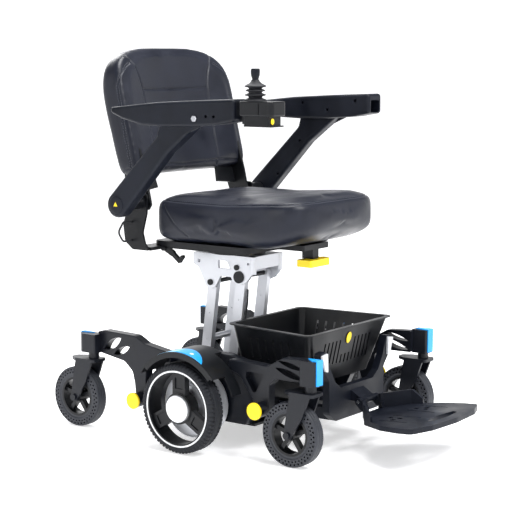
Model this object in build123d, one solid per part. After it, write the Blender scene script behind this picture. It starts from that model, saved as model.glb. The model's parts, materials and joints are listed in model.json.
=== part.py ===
from build123d import *
import os
from math import asin, atan2, cos, degrees, hypot, pi, radians, sin, tan

# Power wheelchair, mid-wheel drive, seat raised on a four-bar lift.
# Millimetres. Built about the drive axle: +X is the chair's left, -Y its front, +Z up,
# z = 0 is the floor. The finished pieces are moved along Y so that the origin is at the
# middle of the whole chair's footprint.

os.makedirs("parts", exist_ok=True)

# ---------------------------------------------------------------- clearances
RUN = 0.05          # radial clearance of a running fit
GAP = 0.3           # clearance between pieces that only lie beside each other
OPEN_PIVOT = 0.3    # radial clearance of the lift's open pivot

# ---------------------------------------------------------------- drive wheels
DRIVE_R = 115.0           # tyre radius
DRIVE_RIM_R = 98.0        # rim radius under the tyre
DRIVE_WIDTH = 51.0        # tyre width
DRIVE_OUTER_X = 346.0     # outer face of the tyre
DRIVE_BARREL = 8.0        # wall of the rim's barrel
DRIVE_SPOKES = 3
DRIVE_HUB_R = 40.0
HUB_CAP_R = 35.0
AXLE_R = 12.0
MOTOR_R = 84.0
MOTOR_LENGTH = 55.0

# ---------------------------------------------------------------- casters
CASTER_R = 81.0
CASTER_RIM_R = 53.0
CASTER_WIDTH = 34.0
CASTER_HUB_R = 15.0
CASTER_SPOKES = 5
CASTER_BOLT_R = 6.0
CASTER_TRAIL = 52.0       # the axle trails the stem by this much
STEM_R = 9.0
STEM_X = 264.0            # stems and caster wheels, from the middle
FRONT_STEM_Y = -352.0
REAR_STEM_Y = 351.0
FORK_TOP_Z = 190.0
FORK_CROWN = 8.0
FORK_LEG = 6.0
FORK_SIDE_GAP = 3.0
FORK_TAIL = 70.0          # how far the crown's guard reaches behind the stem
STEM_LENGTH = 62.0
STEM_COLLAR_R = 14.0

# ---------------------------------------------------------------- base
SIDE_FRAME_X = 205.0      # inner face of each side frame
SIDE_FRAME_THICK = 24.0
CAST_ROUND = 3.0          # rounding of the castings' outer edges
ARM_THICK = 26.0          # caster arm castings, bolted outside the side frames
CAP_FACE_X = 290.0        # outer face of the round end caps
CAP_R = 21.5
CAP_THICK = 5.0
CAP_BOSS_R = 19.0
REAR_CAP_YZ = (194.0, 99.0)
FRONT_CAP_YZ = (-200.0, 127.0)
BOX_OUTER_X = 280.0       # outer face of the stem housings
BOX_WIDTH = 32.0
FRONT_BOX = (-374.0, -328.0, 206.0, 268.0)     # y, y, z, z
REAR_BOX = (334.0, 396.0, 206.0, 256.0)
STRIP_THICK = 2.5         # coloured bumper strips
FLOOR_Z = 64.0            # under side of the chassis tray
FLOOR_THICK = 6.0
TRAY_FRONT_Y = -140.0
TRAY_REAR_Y = 190.0
BATTERY = (72.0, 200.0, -118.0, 176.0, 98.0)   # x, x, y, y, height of one battery box
FENDER_IN_R = 140.0
FENDER_WALL = 4.5
FENDER_ANGLES = (34.0, 142.0)
FENDER_X = (258.0, 344.0)

# ---------------------------------------------------------------- seat lift
PIN_R = 6.0
LEG_X = (41.0, 57.0)      # each leg bar, inner and outer face
LEG_WIDTH = 30.0
LINK_PLATE_X = (58.0, 66.0)
REAR_TOP_PIVOT = (110.0, 393.0)
FRONT_TOP_PIVOT = (14.6, 414.3)
LEG_LEAN = (-29.0, 223.0)  # from a leg's lower pivot to its upper pivot
HEAD_TOP_Z = 470.0
HEAD_FRONT_Y = -30.0
HEAD_REAR_Y = 169.0
SWIVEL_Y = 70.0
SWIVEL_R = 75.0
SPIGOT_R = 15.0
SWIVEL_THICK = 9.0

# ---------------------------------------------------------------- seat
PAN_TOP_Z = 511.0
PAN_THICK = 14.0
PAN_HALF = 186.0
PAN_FRONT_Y = -110.0
PAN_REAR_Y = 206.0
CUSHION_HALF = 204.0
CUSHION_FRONT_Y = -270.0
CUSHION_REAR_Y = 200.0
CUSHION_TOP_Z = 630.0
CUSHION_NOSE_Z = 645.0
HINGE_YZ = (212.0, 614.0)  # common axis of the armrests and of the folding back
SIDE_PLATE_X = (224.0, 230.0)
BACK_PLATE_X = (206.0, 214.0)
WEB_INNER_X = 128.0
WEB_Y = 246.0
BACK_HALF = 248.0
BACK_FOOT_Z = 682.0
BACK_TOP_Z = 1030.0
BACK_FRONT_Y = 202.0
BACK_REAR_Y = 290.0
BACK_PIVOT_Y = 240.0      # the back leans about this line at its foot
BACK_HOLLOW = 36.0        # how deep the bucket is at its middle
BACK_RECLINE = 14.0
SPIGOT_SMALL_R = 9.0
SHOULDER_R = 14.0

# ---------------------------------------------------------------- armrests
BEAM_X = (286.0, 324.0)
BEAM_WIDTH = 60.0
BEAM_ROUND = 9.0
BEAM_HEAD_Z = 846.0       # the beam's head is cut off under the armrest below this
BEAM_LUG = 11.0           # thickness of the lug on the armrest's outer side
ELBOW_YZ = (50.0, 782.0)
BOLT_YZ = (-50.0, 840.0)
PAD_X = (266.0, 330.0)
PAD_FRONT_Y = -172.0
PAD_UNDER_Z = 817.0
PAD_ROUND = 8.0
ARM_SHAFT_R = 10.0

# ---------------------------------------------------------------- joystick
STICK_X = -298.0
STICK_Y = -212.0
STICK_Z = 868.0           # centre of the two tilting axes
POD = (-331.0, -265.0, -282.0, -186.0, 850.0, 885.0)
POD_LOWER = (-328.0, -275.0, -272.0, -198.0, 825.0)
POD_GROOVE_Y = -247.0
POD_TOP_HOLE_R = 16.0
POD_CAVITY_R = 20.0
GIMBAL_R = 14.0
STICK_R = 4.0
KNOB_TOP_Z = 966.0
GAITER_R = 27.0

# ---------------------------------------------------------------- basket and footrest
BASKET_TOP = ((156.0, -28.0), (188.0, -293.0))     # half width and y, rear and front
BASKET_FOOT = ((128.0, -44.0), (134.0, -262.0))
BASKET_FOOT_Z = 172.0
BASKET_RIM_Z = 310.0
BASKET_WALL = 3.5
BASKET_LIP = 8.0
FOOT_HINGE_YZ = (-345.0, 125.0)
FOOT_PIN_R = 4.0
FOOT_KNUCKLE_HALF = 30.0
FOOT_LUG = 13.0
FOOT_TILT = 4.0
DECK_THICK = 13.0
DECK_DROP = 41.0          # hinge axis down to the deck's under side, before the tilt
FOOT_FRAME_Y = (-314.0, -294.0)


# ================================================================ helpers
def outline(points, radii=0):
    """Closed face through the points, its corners rounded where radii say so."""
    if radii == 0:
        return make_face(Polyline(*points, close=True))
    return make_face(FilletPolyline(*points, radius=radii, close=True))


def side_plate(points, x0, x1, radii=0):
    """Outline in (y, z) carried along X."""
    return extrude(Plane.YZ.offset(x0) * outline(points, radii), amount=x1 - x0)


def flat_plate(points, z0, z1, radii=0):
    """Outline in (x, y) carried along Z."""
    return extrude(Plane.XY.offset(z0) * outline(points, radii), amount=z1 - z0)


def front_plate(points, y0, y1, radii=0):
    """Outline in (x, z) carried along Y."""
    return extrude(Plane.XZ.offset(-y0) * outline(points, radii), amount=y0 - y1)


def block(x0, x1, y0, y1, z0, z1):
    return Pos((x0 + x1) / 2, (y0 + y1) / 2, (z0 + z1) / 2) * Box(x1 - x0, y1 - y0, z1 - z0)


def rod_x(r, x0, x1, y, z):
    return Pos((x0 + x1) / 2, y, z) * Rot(0, 90, 0) * Cylinder(r, abs(x1 - x0))


def rod_y(r, x, y0, y1, z):
    return Pos(x, (y0 + y1) / 2, z) * Rot(90, 0, 0) * Cylinder(r, abs(y1 - y0))


def rod_z(r, x, y, z0, z1):
    return Pos(x, y, (z0 + z1) / 2) * Cylinder(r, z1 - z0)


def ring_x(r_out, r_in, x0, x1, y, z):
    return rod_x(r_out, x0, x1, y, z) - rod_x(r_in, x0 - 1, x1 + 1, y, z)


def link_bar(p, q, width, x0, x1):
    """Bar with round ends from one (y, z) point to another, carried along X."""
    middle = ((p[0] + q[0]) / 2, (p[1] + q[1]) / 2)
    length = hypot(q[0] - p[0], q[1] - p[1])
    turn = degrees(atan2(q[1] - p[1], q[0] - p[0]))
    face = Pos(middle[0], middle[1]) * Rot(0, 0, turn) * SlotCenterToCenter(length, width)
    return extrude(Plane.YZ.offset(x0) * face, amount=x1 - x0)


def about_x(shape, y, z, angle):
    """Turn a shape about the line through (y, z) along X."""
    return Pos(0, y, z) * Rot(angle, 0, 0) * Pos(0, -y, -z) * shape


def other_side(shape):
    return mirror(shape, about=Plane.YZ)


def rounded_sides(plate, radius):
    """Round the long edges of a plate that was carried along X."""
    ends = plate.faces().filter_by(Axis.X)
    return fillet(ends.edges(), radius)


# ================================================================ drive wheels
def drive_tyre():
    """Tyre with two grooves round its tread, left side."""
    x0 = DRIVE_OUTER_X - DRIVE_WIDTH
    tyre = ring_x(DRIVE_R, DRIVE_RIM_R + RUN, x0, DRIVE_OUTER_X, 0, DRIVE_R)
    rims = [e for e in tyre.edges() if e.geom_type == GeomType.CIRCLE and e.radius > DRIVE_R - 1]
    tyre = fillet(rims, 9)
    for share in (0.36, 0.64):
        x = x0 + share * DRIVE_WIDTH
        tyre -= ring_x(DRIVE_R + 1, DRIVE_R - 3, x - 1.5, x + 1.5, 0, DRIVE_R)
    return tyre


def drive_rim():
    """Barrel, three broad spokes with a sunk panel, and the hub."""
    x0 = DRIVE_OUTER_X - DRIVE_WIDTH + 2
    x1 = DRIVE_OUTER_X - 2
    inner = DRIVE_RIM_R - DRIVE_BARREL
    rim = ring_x(DRIVE_RIM_R, inner, x0, x1, 0, DRIVE_R)
    rim += rod_x(DRIVE_HUB_R, x0 + 8, x1 - 7, 0, DRIVE_R)
    spoke_end = inner + 1
    for i in range(DRIVE_SPOKES):
        angle = 90 + i * 360 / DRIVE_SPOKES
        spoke = block(x0 + 20, x1 - 9, -20, 20, DRIVE_HUB_R - 6, spoke_end)
        spoke -= block(x1 - 12, x1, -12, 12, DRIVE_HUB_R + 10, inner - 12)
        rim += Pos(0, 0, DRIVE_R) * Rot(angle - 90, 0, 0) * spoke
    return rim - rod_x(AXLE_R + RUN, x0 - 5, x1 + 5, 0, DRIVE_R)


def hub_cap():
    x0 = DRIVE_OUTER_X - 9
    cap = rod_x(HUB_CAP_R, x0, DRIVE_OUTER_X - 1, 0, DRIVE_R)
    return fillet(cap.edges().sort_by(Axis.X)[-1], 3)


def drive_motor():
    """Gear motor bolted to the side frame, with the axle that carries the wheel."""
    x0 = SIDE_FRAME_X + SIDE_FRAME_THICK
    drum0 = x0 + 7
    drum1 = drum0 + MOTOR_LENGTH
    drum = rod_x(MOTOR_R, drum0, drum1, 0, DRIVE_R)
    drum = fillet(drum.edges().filter_by(GeomType.CIRCLE), 7)
    motor = drum + rod_x(MOTOR_R - 24, x0, drum0 + 2, 0, DRIVE_R)
    motor += rod_x(30, drum1 - 2, drum1 + 8, 0, DRIVE_R)
    motor += rod_x(AXLE_R, drum1, DRIVE_OUTER_X - 11, 0, DRIVE_R)
    for i in range(6):
        a = radians(30 + 60 * i)
        motor += rod_x(5, drum1 - 2, drum1 + 3, 56 * cos(a), DRIVE_R + 56 * sin(a))
    return motor


# ================================================================ casters
def caster_wheel_yz(stem_y):
    return stem_y + CASTER_TRAIL, CASTER_R


def caster_tyre(stem_y):
    y, z = caster_wheel_yz(stem_y)
    half = CASTER_WIDTH / 2
    tyre = ring_x(CASTER_R, CASTER_RIM_R + RUN, STEM_X - half, STEM_X + half, y, z)
    outer = [e for e in tyre.edges() if e.geom_type == GeomType.CIRCLE and e.radius > CASTER_R - 1]
    return fillet(outer, 8)


def caster_rim(stem_y):
    """Barrel, five spokes and the hub on its running bore."""
    y, z = caster_wheel_yz(stem_y)
    half = CASTER_WIDTH / 2 - 2
    inner = CASTER_RIM_R - 6
    rim = ring_x(CASTER_RIM_R, inner, STEM_X - half, STEM_X + half, y, z)
    rim += rod_x(CASTER_HUB_R, STEM_X - half - 3, STEM_X + half + 3, y, z)
    for i in range(CASTER_SPOKES):
        spoke = block(STEM_X - 8, STEM_X + 8, -5.5, 5.5, CASTER_HUB_R - 3, inner + 1)
        rim += Pos(0, y, z) * Rot(i * 360 / CASTER_SPOKES, 0, 0) * spoke
    return rim - rod_x(CASTER_BOLT_R + RUN, STEM_X - 40, STEM_X + 40, y, z)


def caster_fork(stem_y):
    """Stem, crown with its rear guard, two legs, and the axle bolt as a second solid."""
    y, z = caster_wheel_yz(stem_y)
    reach = CASTER_WIDTH / 2 + FORK_SIDE_GAP
    half = reach + FORK_LEG
    crown_z = FORK_TOP_Z - FORK_CROWN
    crown = flat_plate([(STEM_X - half, stem_y - 22), (STEM_X + half, stem_y - 22),
                        (STEM_X + half, stem_y + 46), (STEM_X + 12, stem_y + FORK_TAIL),
                        (STEM_X - 12, stem_y + FORK_TAIL), (STEM_X - half, stem_y + 46)],
                       crown_z, FORK_TOP_Z, 9)
    leg_points = [(stem_y - 13, crown_z + 3), (stem_y + 44, crown_z + 3), (stem_y + 52, z + 62),
                  (y + 10, z + 4), (y + 6, z - 11), (y - 8, z - 11), (stem_y + 8, z + 48)]
    fork = crown
    for x0 in (STEM_X - half, STEM_X + reach):
        fork += side_plate(leg_points, x0, x0 + FORK_LEG, 4)
    fork += rod_z(STEM_COLLAR_R, STEM_X, stem_y, FORK_TOP_Z - 2, FRONT_BOX[2] - GAP)
    fork += rod_z(STEM_R, STEM_X, stem_y, FORK_TOP_Z, FORK_TOP_Z + STEM_LENGTH)
    fork -= rod_x(CASTER_BOLT_R + RUN, STEM_X - 40, STEM_X + 40, y, z)
    bolt = rod_x(CASTER_BOLT_R, STEM_X - half - 4, STEM_X + half + 4, y, z)
    for x0 in (STEM_X - half - 5, STEM_X + half):
        bolt += rod_x(9, x0, x0 + 5, y, z)
    return Compound(children=[fork, bolt])


# ================================================================ base
def side_frame():
    """Humped plate beside the batteries that carries the motor and both caster arms."""
    points = [(150, 70), (172, 120), (165, 195), (120, 232), (60, 244), (-10, 247), (-80, 243),
              (-125, 234), (-140, 200), (-160, 130), (-130, 70)]
    plate = side_plate(points, SIDE_FRAME_X, SIDE_FRAME_X + SIDE_FRAME_THICK, 9)
    return fillet(plate.faces().sort_by(Axis.X)[-1].edges(), CAST_ROUND)


def leaf(y0, z0, y1, z1, width, x0, x1):
    """Leaf-shaped window: two arcs between its tips."""
    my, mz = (y0 + y1) / 2, (z0 + z1) / 2
    length = hypot(y1 - y0, z1 - z0)
    ny, nz = -(z1 - z0) / length, (y1 - y0) / length
    a = ThreePointArc((y0, z0), (my + ny * width / 2, mz + nz * width / 2), (y1, z1))
    b = ThreePointArc((y1, z1), (my - ny * width / 2, mz - nz * width / 2), (y0, z0))
    return extrude(Plane.YZ.offset(x0) * make_face([a, b]), amount=x1 - x0)


def end_boss(yz):
    """Round boss from an arm out to the face that its end cap covers."""
    x0 = SIDE_FRAME_X + SIDE_FRAME_THICK
    return rod_x(CAP_BOSS_R, x0, CAP_FACE_X - CAP_THICK, yz[0], yz[1])


def rear_arm():
    """Casting from the side frame to the rear stem housing, with two leaf windows."""
    x0 = SIDE_FRAME_X + SIDE_FRAME_THICK
    x1 = x0 + ARM_THICK
    points = [(92, 206), (172, 204), (178, 150), (176, 99), (212, 99), (217, 140), (224, 168),
              (252, 192), (290, 198), (344, 207), (344, 262), (322, 267), (215, 264), (180, 246),
              (92, 232)]
    arm = side_plate(points, x0, x1, [5, 12, 9, 5, 5, 8, 25, 25, 8, 4, 4, 9, 20, 20, 5])
    arm = fillet(arm.faces().sort_by(Axis.X)[-1].edges(), CAST_ROUND)
    arm -= leaf(322, 216, 262, 252, 24, x0 - 1, x1 + 1)
    arm -= leaf(288, 206, 232, 232, 18, x0 - 1, x1 + 1)
    arm += end_boss(REAR_CAP_YZ)
    y0, y1, z0, z1 = REAR_BOX
    corner = BOX_OUTER_X - 8
    housing = flat_plate([(BOX_OUTER_X - BOX_WIDTH - 6, y0), (BOX_OUTER_X, y0),
                          (BOX_OUTER_X, y1 - 16), (corner - 4, y1),
                          (BOX_OUTER_X - BOX_WIDTH - 6, y1)], z0, z1, 5)
    arm += housing
    return arm - rod_z(STEM_R + RUN, STEM_X, REAR_STEM_Y, z0 - 5, FORK_TOP_Z + STEM_LENGTH + 1)


def front_arm():
    """Casting from the side frame to the front stem housing."""
    x0 = SIDE_FRAME_X + SIDE_FRAME_THICK
    x1 = x0 + ARM_THICK
    points = [(-96, 214), (-128, 204), (-170, 150), (-181, 118), (-219, 118), (-222, 190),
              (-240, 206), (-334, 208), (-334, 266), (-262, 262), (-215, 236), (-150, 240),
              (-96, 240)]
    arm = side_plate(points, x0, x1, [4, 12, 12, 5, 5, 9, 9, 4, 4, 10, 22, 14, 5])
    arm = fillet(arm.faces().sort_by(Axis.X)[-1].edges(), CAST_ROUND)
    arm -= leaf(-326, 238, -248, 254, 13, x0 - 1, x1 + 1)
    arm -= leaf(-326, 214, -240, 236, 17, x0 - 1, x1 + 1)
    arm -= side_plate([(-152, 216), (-204, 216), (-204, 206), (-180, 166), (-172, 166),
                       (-150, 200)], x0 + 8, x1 + 1, 4)
    arm += end_boss(FRONT_CAP_YZ)
    y0, y1, z0, z1 = FRONT_BOX
    arm += flat_plate([(BOX_OUTER_X - BOX_WIDTH - 6, y0), (BOX_OUTER_X, y0), (BOX_OUTER_X, y1),
                       (BOX_OUTER_X - BOX_WIDTH - 6, y1)], z0, z1, 5)
    return arm - rod_z(STEM_R + RUN, STEM_X, FRONT_STEM_Y, z0 - 5, FORK_TOP_Z + STEM_LENGTH + 1)


def bumper_strips():
    """Coloured strips: down the outward face of each stem housing and over its top."""
    x0, x1 = BOX_OUTER_X - BOX_WIDTH, BOX_OUTER_X - 6
    strips = []
    for (y0, y1, z0, z1), facing in ((FRONT_BOX, -1), (REAR_BOX, 1)):
        face_y = y0 if facing < 0 else y1
        outer_y = face_y + facing * STRIP_THICK
        x_end = x1 if facing < 0 else x1 - 12
        upright = block(x0, x_end, min(face_y, outer_y), max(face_y, outer_y),
                        z0 + 3, z1 + STRIP_THICK)
        inner_y = face_y - facing * 38
        top = flat_plate([(x0, outer_y), (x_end, outer_y), (x_end, face_y - facing * 12),
                          (x0 + 4, inner_y)], z1, z1 + STRIP_THICK)
        strip = upright + top
        strips += [strip, other_side(strip)]
    return Compound(children=strips)


def end_caps():
    caps = []
    for y, z in (REAR_CAP_YZ, FRONT_CAP_YZ):
        cap = rod_x(CAP_R, CAP_FACE_X - CAP_THICK, CAP_FACE_X, y, z)
        cap = fillet(cap.edges().sort_by(Axis.X)[-1], 1.5)
        caps += [cap, other_side(cap)]
    return Compound(children=caps)


def lower_pivots():
    rear = (REAR_TOP_PIVOT[0] - LEG_LEAN[0], REAR_TOP_PIVOT[1] - LEG_LEAN[1])
    front = (FRONT_TOP_PIVOT[0] - LEG_LEAN[0], FRONT_TOP_PIVOT[1] - LEG_LEAN[1])
    return rear, front


def chassis_tray():
    """Floor tray between the side frames, its end walls and the two lift brackets."""
    half = SIDE_FRAME_X
    top = FLOOR_Z + FLOOR_THICK
    tray = block(-half, half, TRAY_FRONT_Y, TRAY_REAR_Y, FLOOR_Z, top)
    tray += block(-120, 120, TRAY_FRONT_Y, TRAY_FRONT_Y + 6, top, BASKET_FOOT_Z - GAP)
    tray += block(-half, half, TRAY_REAR_Y - 6, TRAY_REAR_Y, top, top + 78)
    rear, front = lower_pivots()
    bracket = [(front[0] - 20, top - 2), (front[0] - 20, front[1]), (front[0] - 8, front[1] + 17),
               (front[0] + 10, front[1] + 17), (rear[0] + 6, rear[1] + 18),
               (rear[0] + 19, rear[1]), (rear[0] + 19, top - 2)]
    for x0, x1 in (LINK_PLATE_X, (-LINK_PLATE_X[1], -LINK_PLATE_X[0])):
        tray += side_plate(bracket, x0, x1, [2, 6, 6, 6, 8, 8, 2])
    for y, z in (rear, front):
        tray -= rod_x(PIN_R + RUN, -80, 80, y, z)
    return tray


def battery_boxes():
    """Two closed battery boxes with stepped lids and a carrying slot across each lid."""
    x0, x1, y0, y1, height = BATTERY
    z0 = FLOOR_Z + FLOOR_THICK
    z1 = z0 + height
    box = block(x0 + 2, x1 - 2, y0 + 2, y1 - 2, z0, z1 - 25)
    box += flat_plate([(x0, y0), (x1, y0), (x1, y1), (x0, y1)], z1 - 26, z1, 8)
    for y in (y0 + 62, y1 - 62):
        box -= block(x0 + 34, x1 - 34, y - 9, y + 9, z1 - 8, z1 + 1)
    return Compound(children=[box, other_side(box)])


def motor_controller():
    z0 = FLOOR_Z + FLOOR_THICK
    return block(-54, 54, TRAY_FRONT_Y + 14, 8, z0, z0 + 52)


def fender():
    """Arched guard over the drive wheel, with a pointed tail in front and a fixing web."""
    out_r = FENDER_IN_R + FENDER_WALL
    a0, a1 = FENDER_ANGLES

    def spot(r, a):
        return r * cos(radians(a)), DRIVE_R + r * sin(radians(a))

    def arch(r0, r1, start, end, x0, x1):
        mid = (start + end) / 2
        outer = ThreePointArc(spot(r1, start), spot(r1, mid), spot(r1, end))
        inner = ThreePointArc(spot(r0, end), spot(r0, mid), spot(r0, start))
        ends = [Line(spot(r1, end), spot(r0, end)), Line(spot(r0, start), spot(r1, start))]
        return extrude(Plane.YZ.offset(x0) * make_face([outer, inner] + ends), amount=x1 - x0)

    x0, x1 = FENDER_X
    guard = arch(FENDER_IN_R, out_r, a0, a1, x0, x1)
    guard += arch(FENDER_IN_R, out_r, a1 - 1, a1 + 21, x0, x0 + 36)
    guard += arch(FENDER_IN_R - 10, out_r, a0 + 8, a1 - 2, x1 - 4, x1)
    web_x = SIDE_FRAME_X + SIDE_FRAME_THICK
    guard += arch(FENDER_IN_R, out_r, 70, 112, web_x, x0 + 1)
    guard += arch(FENDER_IN_R - 22, FENDER_IN_R + 1, 70, 112, web_x, web_x + 4)
    return guard


# ================================================================ seat lift
def leg_pair(top_pivot, top_clearance, holes):
    """Two leg bars joined by a cross tube."""
    low = (top_pivot[0] - LEG_LEAN[0], top_pivot[1] - LEG_LEAN[1])
    pair = link_bar(low, top_pivot, LEG_WIDTH, LEG_X[0], LEG_X[1])
    pair += link_bar(low, top_pivot, LEG_WIDTH, -LEG_X[1], -LEG_X[0])
    along = 0.3
    y = low[0] + LEG_LEAN[0] * along
    z = low[1] + LEG_LEAN[1] * along
    pair += rod_x(9, -LEG_X[0] - 1, LEG_X[0] + 1, y, z)
    pair -= rod_x(PIN_R + RUN, -80, 80, low[0], low[1])
    pair -= rod_x(PIN_R + top_clearance, -80, 80, top_pivot[0], top_pivot[1])
    for share in holes:
        pair -= rod_x(1.6, -80, 80, low[0] + LEG_LEAN[0] * share, low[1] + LEG_LEAN[1] * share)
    return pair


def lift_head():
    """Casting on top of the legs: two side plates, deck, end walls and corner bosses."""
    ry, rz = REAR_TOP_PIVOT
    fy, fz = FRONT_TOP_PIVOT
    x0, x1 = LINK_PLATE_X
    z1 = HEAD_TOP_Z
    points = [(HEAD_REAR_Y, z1), (HEAD_FRONT_Y, z1), (HEAD_FRONT_Y, fz + 12), (fy - 24, fz - 12),
              (fy - 4, fz - 21), (fy + 20, fz - 14), (fy + 27, fz - 2), (ry - 34, fz - 2),
              (ry - 16, rz - 12), (ry, rz - 18), (ry + 16, rz - 10), (ry + 40, rz + 37),
              (HEAD_REAR_Y, rz + 47)]
    head = block(-x0 - 1, x0 + 1, HEAD_FRONT_Y, HEAD_REAR_Y, z1 - 8, z1)
    for a, b in ((x0, x1), (-x1, -x0)):
        head += side_plate(points, a, b, [3, 3, 5, 6, 6, 5, 3, 6, 6, 6, 6, 8, 6])
    head += block(-x0 - 1, x0 + 1, HEAD_FRONT_Y, HEAD_FRONT_Y + 7, fz + 22, z1 - 4)
    head += block(-x0 - 1, x0 + 1, HEAD_REAR_Y - 7, HEAD_REAR_Y, z1 - 30, z1 - 4)
    for x in (-x1 + 7, x1 - 7):
        head += rod_z(9, x, HEAD_FRONT_Y + 4, fz + 10, z1)
    head -= block(-80, 80, 42, 84, z1 - 37, z1 - 16)
    head -= rod_x(5, -80, 80, HEAD_REAR_Y - 20, z1 - 22)
    head -= rod_x(3.5, -80, 80, HEAD_FRONT_Y + 15, z1 - 19)
    head -= rod_z(SPIGOT_R - 4, 0, SWIVEL_Y, z1 - 20, z1 + 2)
    for y, z in (REAR_TOP_PIVOT, FRONT_TOP_PIVOT):
        head -= rod_x(PIN_R + RUN, -80, 80, y, z)
    return head


def pivot_pin(y, z, half, head_r):
    """Pin through both plates with a low round head at each end."""
    pin = rod_x(PIN_R, -half, half, y, z)
    for x0 in (-half - 4, half):
        pin += rod_x(head_r, x0, x0 + 4, y, z)
    return pin


def lower_pins():
    """The two lower lift pins and the footplate's hinge pin."""
    rear, front = lower_pivots()
    reach = LINK_PLATE_X[1]
    pins = [pivot_pin(y, z, reach, 9) for y, z in (rear, front)]
    end = FOOT_KNUCKLE_HALF + FOOT_LUG + 1
    pins.append(rod_x(FOOT_PIN_R, -end, end, *FOOT_HINGE_YZ))
    return Compound(children=pins)


def upper_pins():
    """Upper lift pins: button heads behind, broad round caps in front."""
    reach = LINK_PLATE_X[1]
    rear = pivot_pin(*REAR_TOP_PIVOT, reach, 8)
    front = pivot_pin(*FRONT_TOP_PIVOT, reach, 16)
    screws = []
    for x0 in (-reach - 4, reach):
        screws.append(rod_x(7.5, x0, x0 + 4, FRONT_TOP_PIVOT[0] + 7, FRONT_TOP_PIVOT[1] + 25))
    return Compound(children=[rear, front] + screws)


def leg_cable():
    """Control cable held along the front of a front leg."""
    low = (FRONT_TOP_PIVOT[0] - LEG_LEAN[0], FRONT_TOP_PIVOT[1] - LEG_LEAN[1])
    slope = LEG_LEAN[0] / LEG_LEAN[1]
    x = -LEG_X[0] - 4
    off = LEG_WIDTH / 2 + 2.5 + GAP

    def spot(share, out):
        return (x, low[0] + LEG_LEAN[0] * share - out, low[1] + LEG_LEAN[1] * share + out * slope)

    points = [spot(0.86, off), spot(0.7, off + 3), spot(0.53, off + 0.5), spot(0.36, off + 4),
              spot(0.2, off)]
    radii = [110, 130, 110]
    print("leg cable: diameter 5, arc radii", radii)
    path = FilletPolyline(*points, radius=radii)
    start = Plane(origin=points[0], z_dir=Vector(*points[1]) - Vector(*points[0]))
    return sweep(start * Circle(2.5), path=path)


def swivel_bearing():
    """Round bearing plate on the head, with the spigot that the seat turns on."""
    z0 = HEAD_TOP_Z
    plate = rod_z(SWIVEL_R, 0, SWIVEL_Y, z0, z0 + SWIVEL_THICK)
    return plate + rod_z(SPIGOT_R, 0, SWIVEL_Y, z0, PAN_TOP_Z - 4)


# ================================================================ seat
def seat_pan():
    """Pressed pan with a bearing boss below and a tongue in front for the lever."""
    z1 = PAN_TOP_Z
    z0 = z1 - PAN_THICK
    half = PAN_HALF
    pan = flat_plate([(-half, PAN_REAR_Y), (-half, PAN_FRONT_Y), (-60, PAN_FRONT_Y),
                      (-60, -186), (60, -186), (60, PAN_FRONT_Y), (half, PAN_FRONT_Y),
                      (half, PAN_REAR_Y)], z0, z1, [18, 30, 12, 8, 8, 12, 30, 18])
    pan += rod_z(SWIVEL_R + 6, 0, SWIVEL_Y, HEAD_TOP_Z + SWIVEL_THICK + GAP, z0 + 1)
    pan += block(-13, 13, -184, -150, LEVER_Z + 14 + GAP, z0 + 1)
    for x in (-150, 150):
        pan += block(x - 12, x + 12, PAN_FRONT_Y + 20, PAN_REAR_Y - 24, z0 - 8, z0 + 1)
    pan += release_bracket()
    pan -= rod_z(SPIGOT_R + RUN, 0, SWIVEL_Y, HEAD_TOP_Z - 5, z1 + 2)
    return pan - rod_z(5 + RUN, 0, LEVER_Y, LEVER_Z, z0 - 3)


def seat_cushion():
    """Plain solid of the cushion: full width, higher nose, rounded round its plan."""
    half = CUSHION_HALF
    y0, y1 = CUSHION_FRONT_Y, CUSHION_REAR_Y
    z0 = PAN_TOP_Z + GAP
    profile = side_plate([(y1, z0), (y1, CUSHION_TOP_Z - 4), (-70, CUSHION_TOP_Z - 8),
                          (y0 + 70, CUSHION_NOSE_Z), (y0, CUSHION_NOSE_Z - 3),
                          (y0, z0 + 30), (PAN_FRONT_Y, z0)],
                         -half - 5, half + 5, [10, 14, 90, 60, 26, 22, 40])
    plan = flat_plate([(-half, y1 + 5), (-half, y0 - 2), (half, y0 - 2), (half, y1 + 5)],
                      z0 - 5, CUSHION_NOSE_Z + 5, [30, 84, 84, 30])
    return profile & plan


def seat_side_plates():
    """Bent plates beside the seat's rear corners, with the shafts that the arms turn on."""
    y, z = HINGE_YZ
    x0, x1 = SIDE_PLATE_X
    points = [(y - 24, z + 24), (y - 20, z - 30), (y - 6, z - 80), (y - 14, z - 108),
              (y - 30, z - 126), (y + 28, z - 126), (y + 54, z - 106), (y + 60, z - 60),
              (y + 40, z - 10), (y + 26, z + 24)]
    plate = side_plate(points, x0, x1, [14, 20, 20, 12, 3, 12, 14, 20, 20, 14])
    foot_z = PAN_TOP_Z - PAN_THICK
    plate += block(PAN_HALF - 40, x0 + 1, y - 30, y + 20, z - 126, foot_z)
    plate += rod_x(SHOULDER_R + 4, x1 - 1, BEAM_X[0] - GAP, y, z)
    plate += rod_x(ARM_SHAFT_R, x1 - 1, BEAM_X[1] - 6, y, z)
    plate += rod_x(SHOULDER_R, BACK_PLATE_X[1] + GAP, x0 + 1, y, z)
    plate += rod_x(SPIGOT_SMALL_R, BACK_PLATE_X[0] + 1, x0 + 1, y, z)
    return Compound(children=[plate, other_side(plate)])


LEVER_Y = -168.0
LEVER_Z = 458.0


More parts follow.
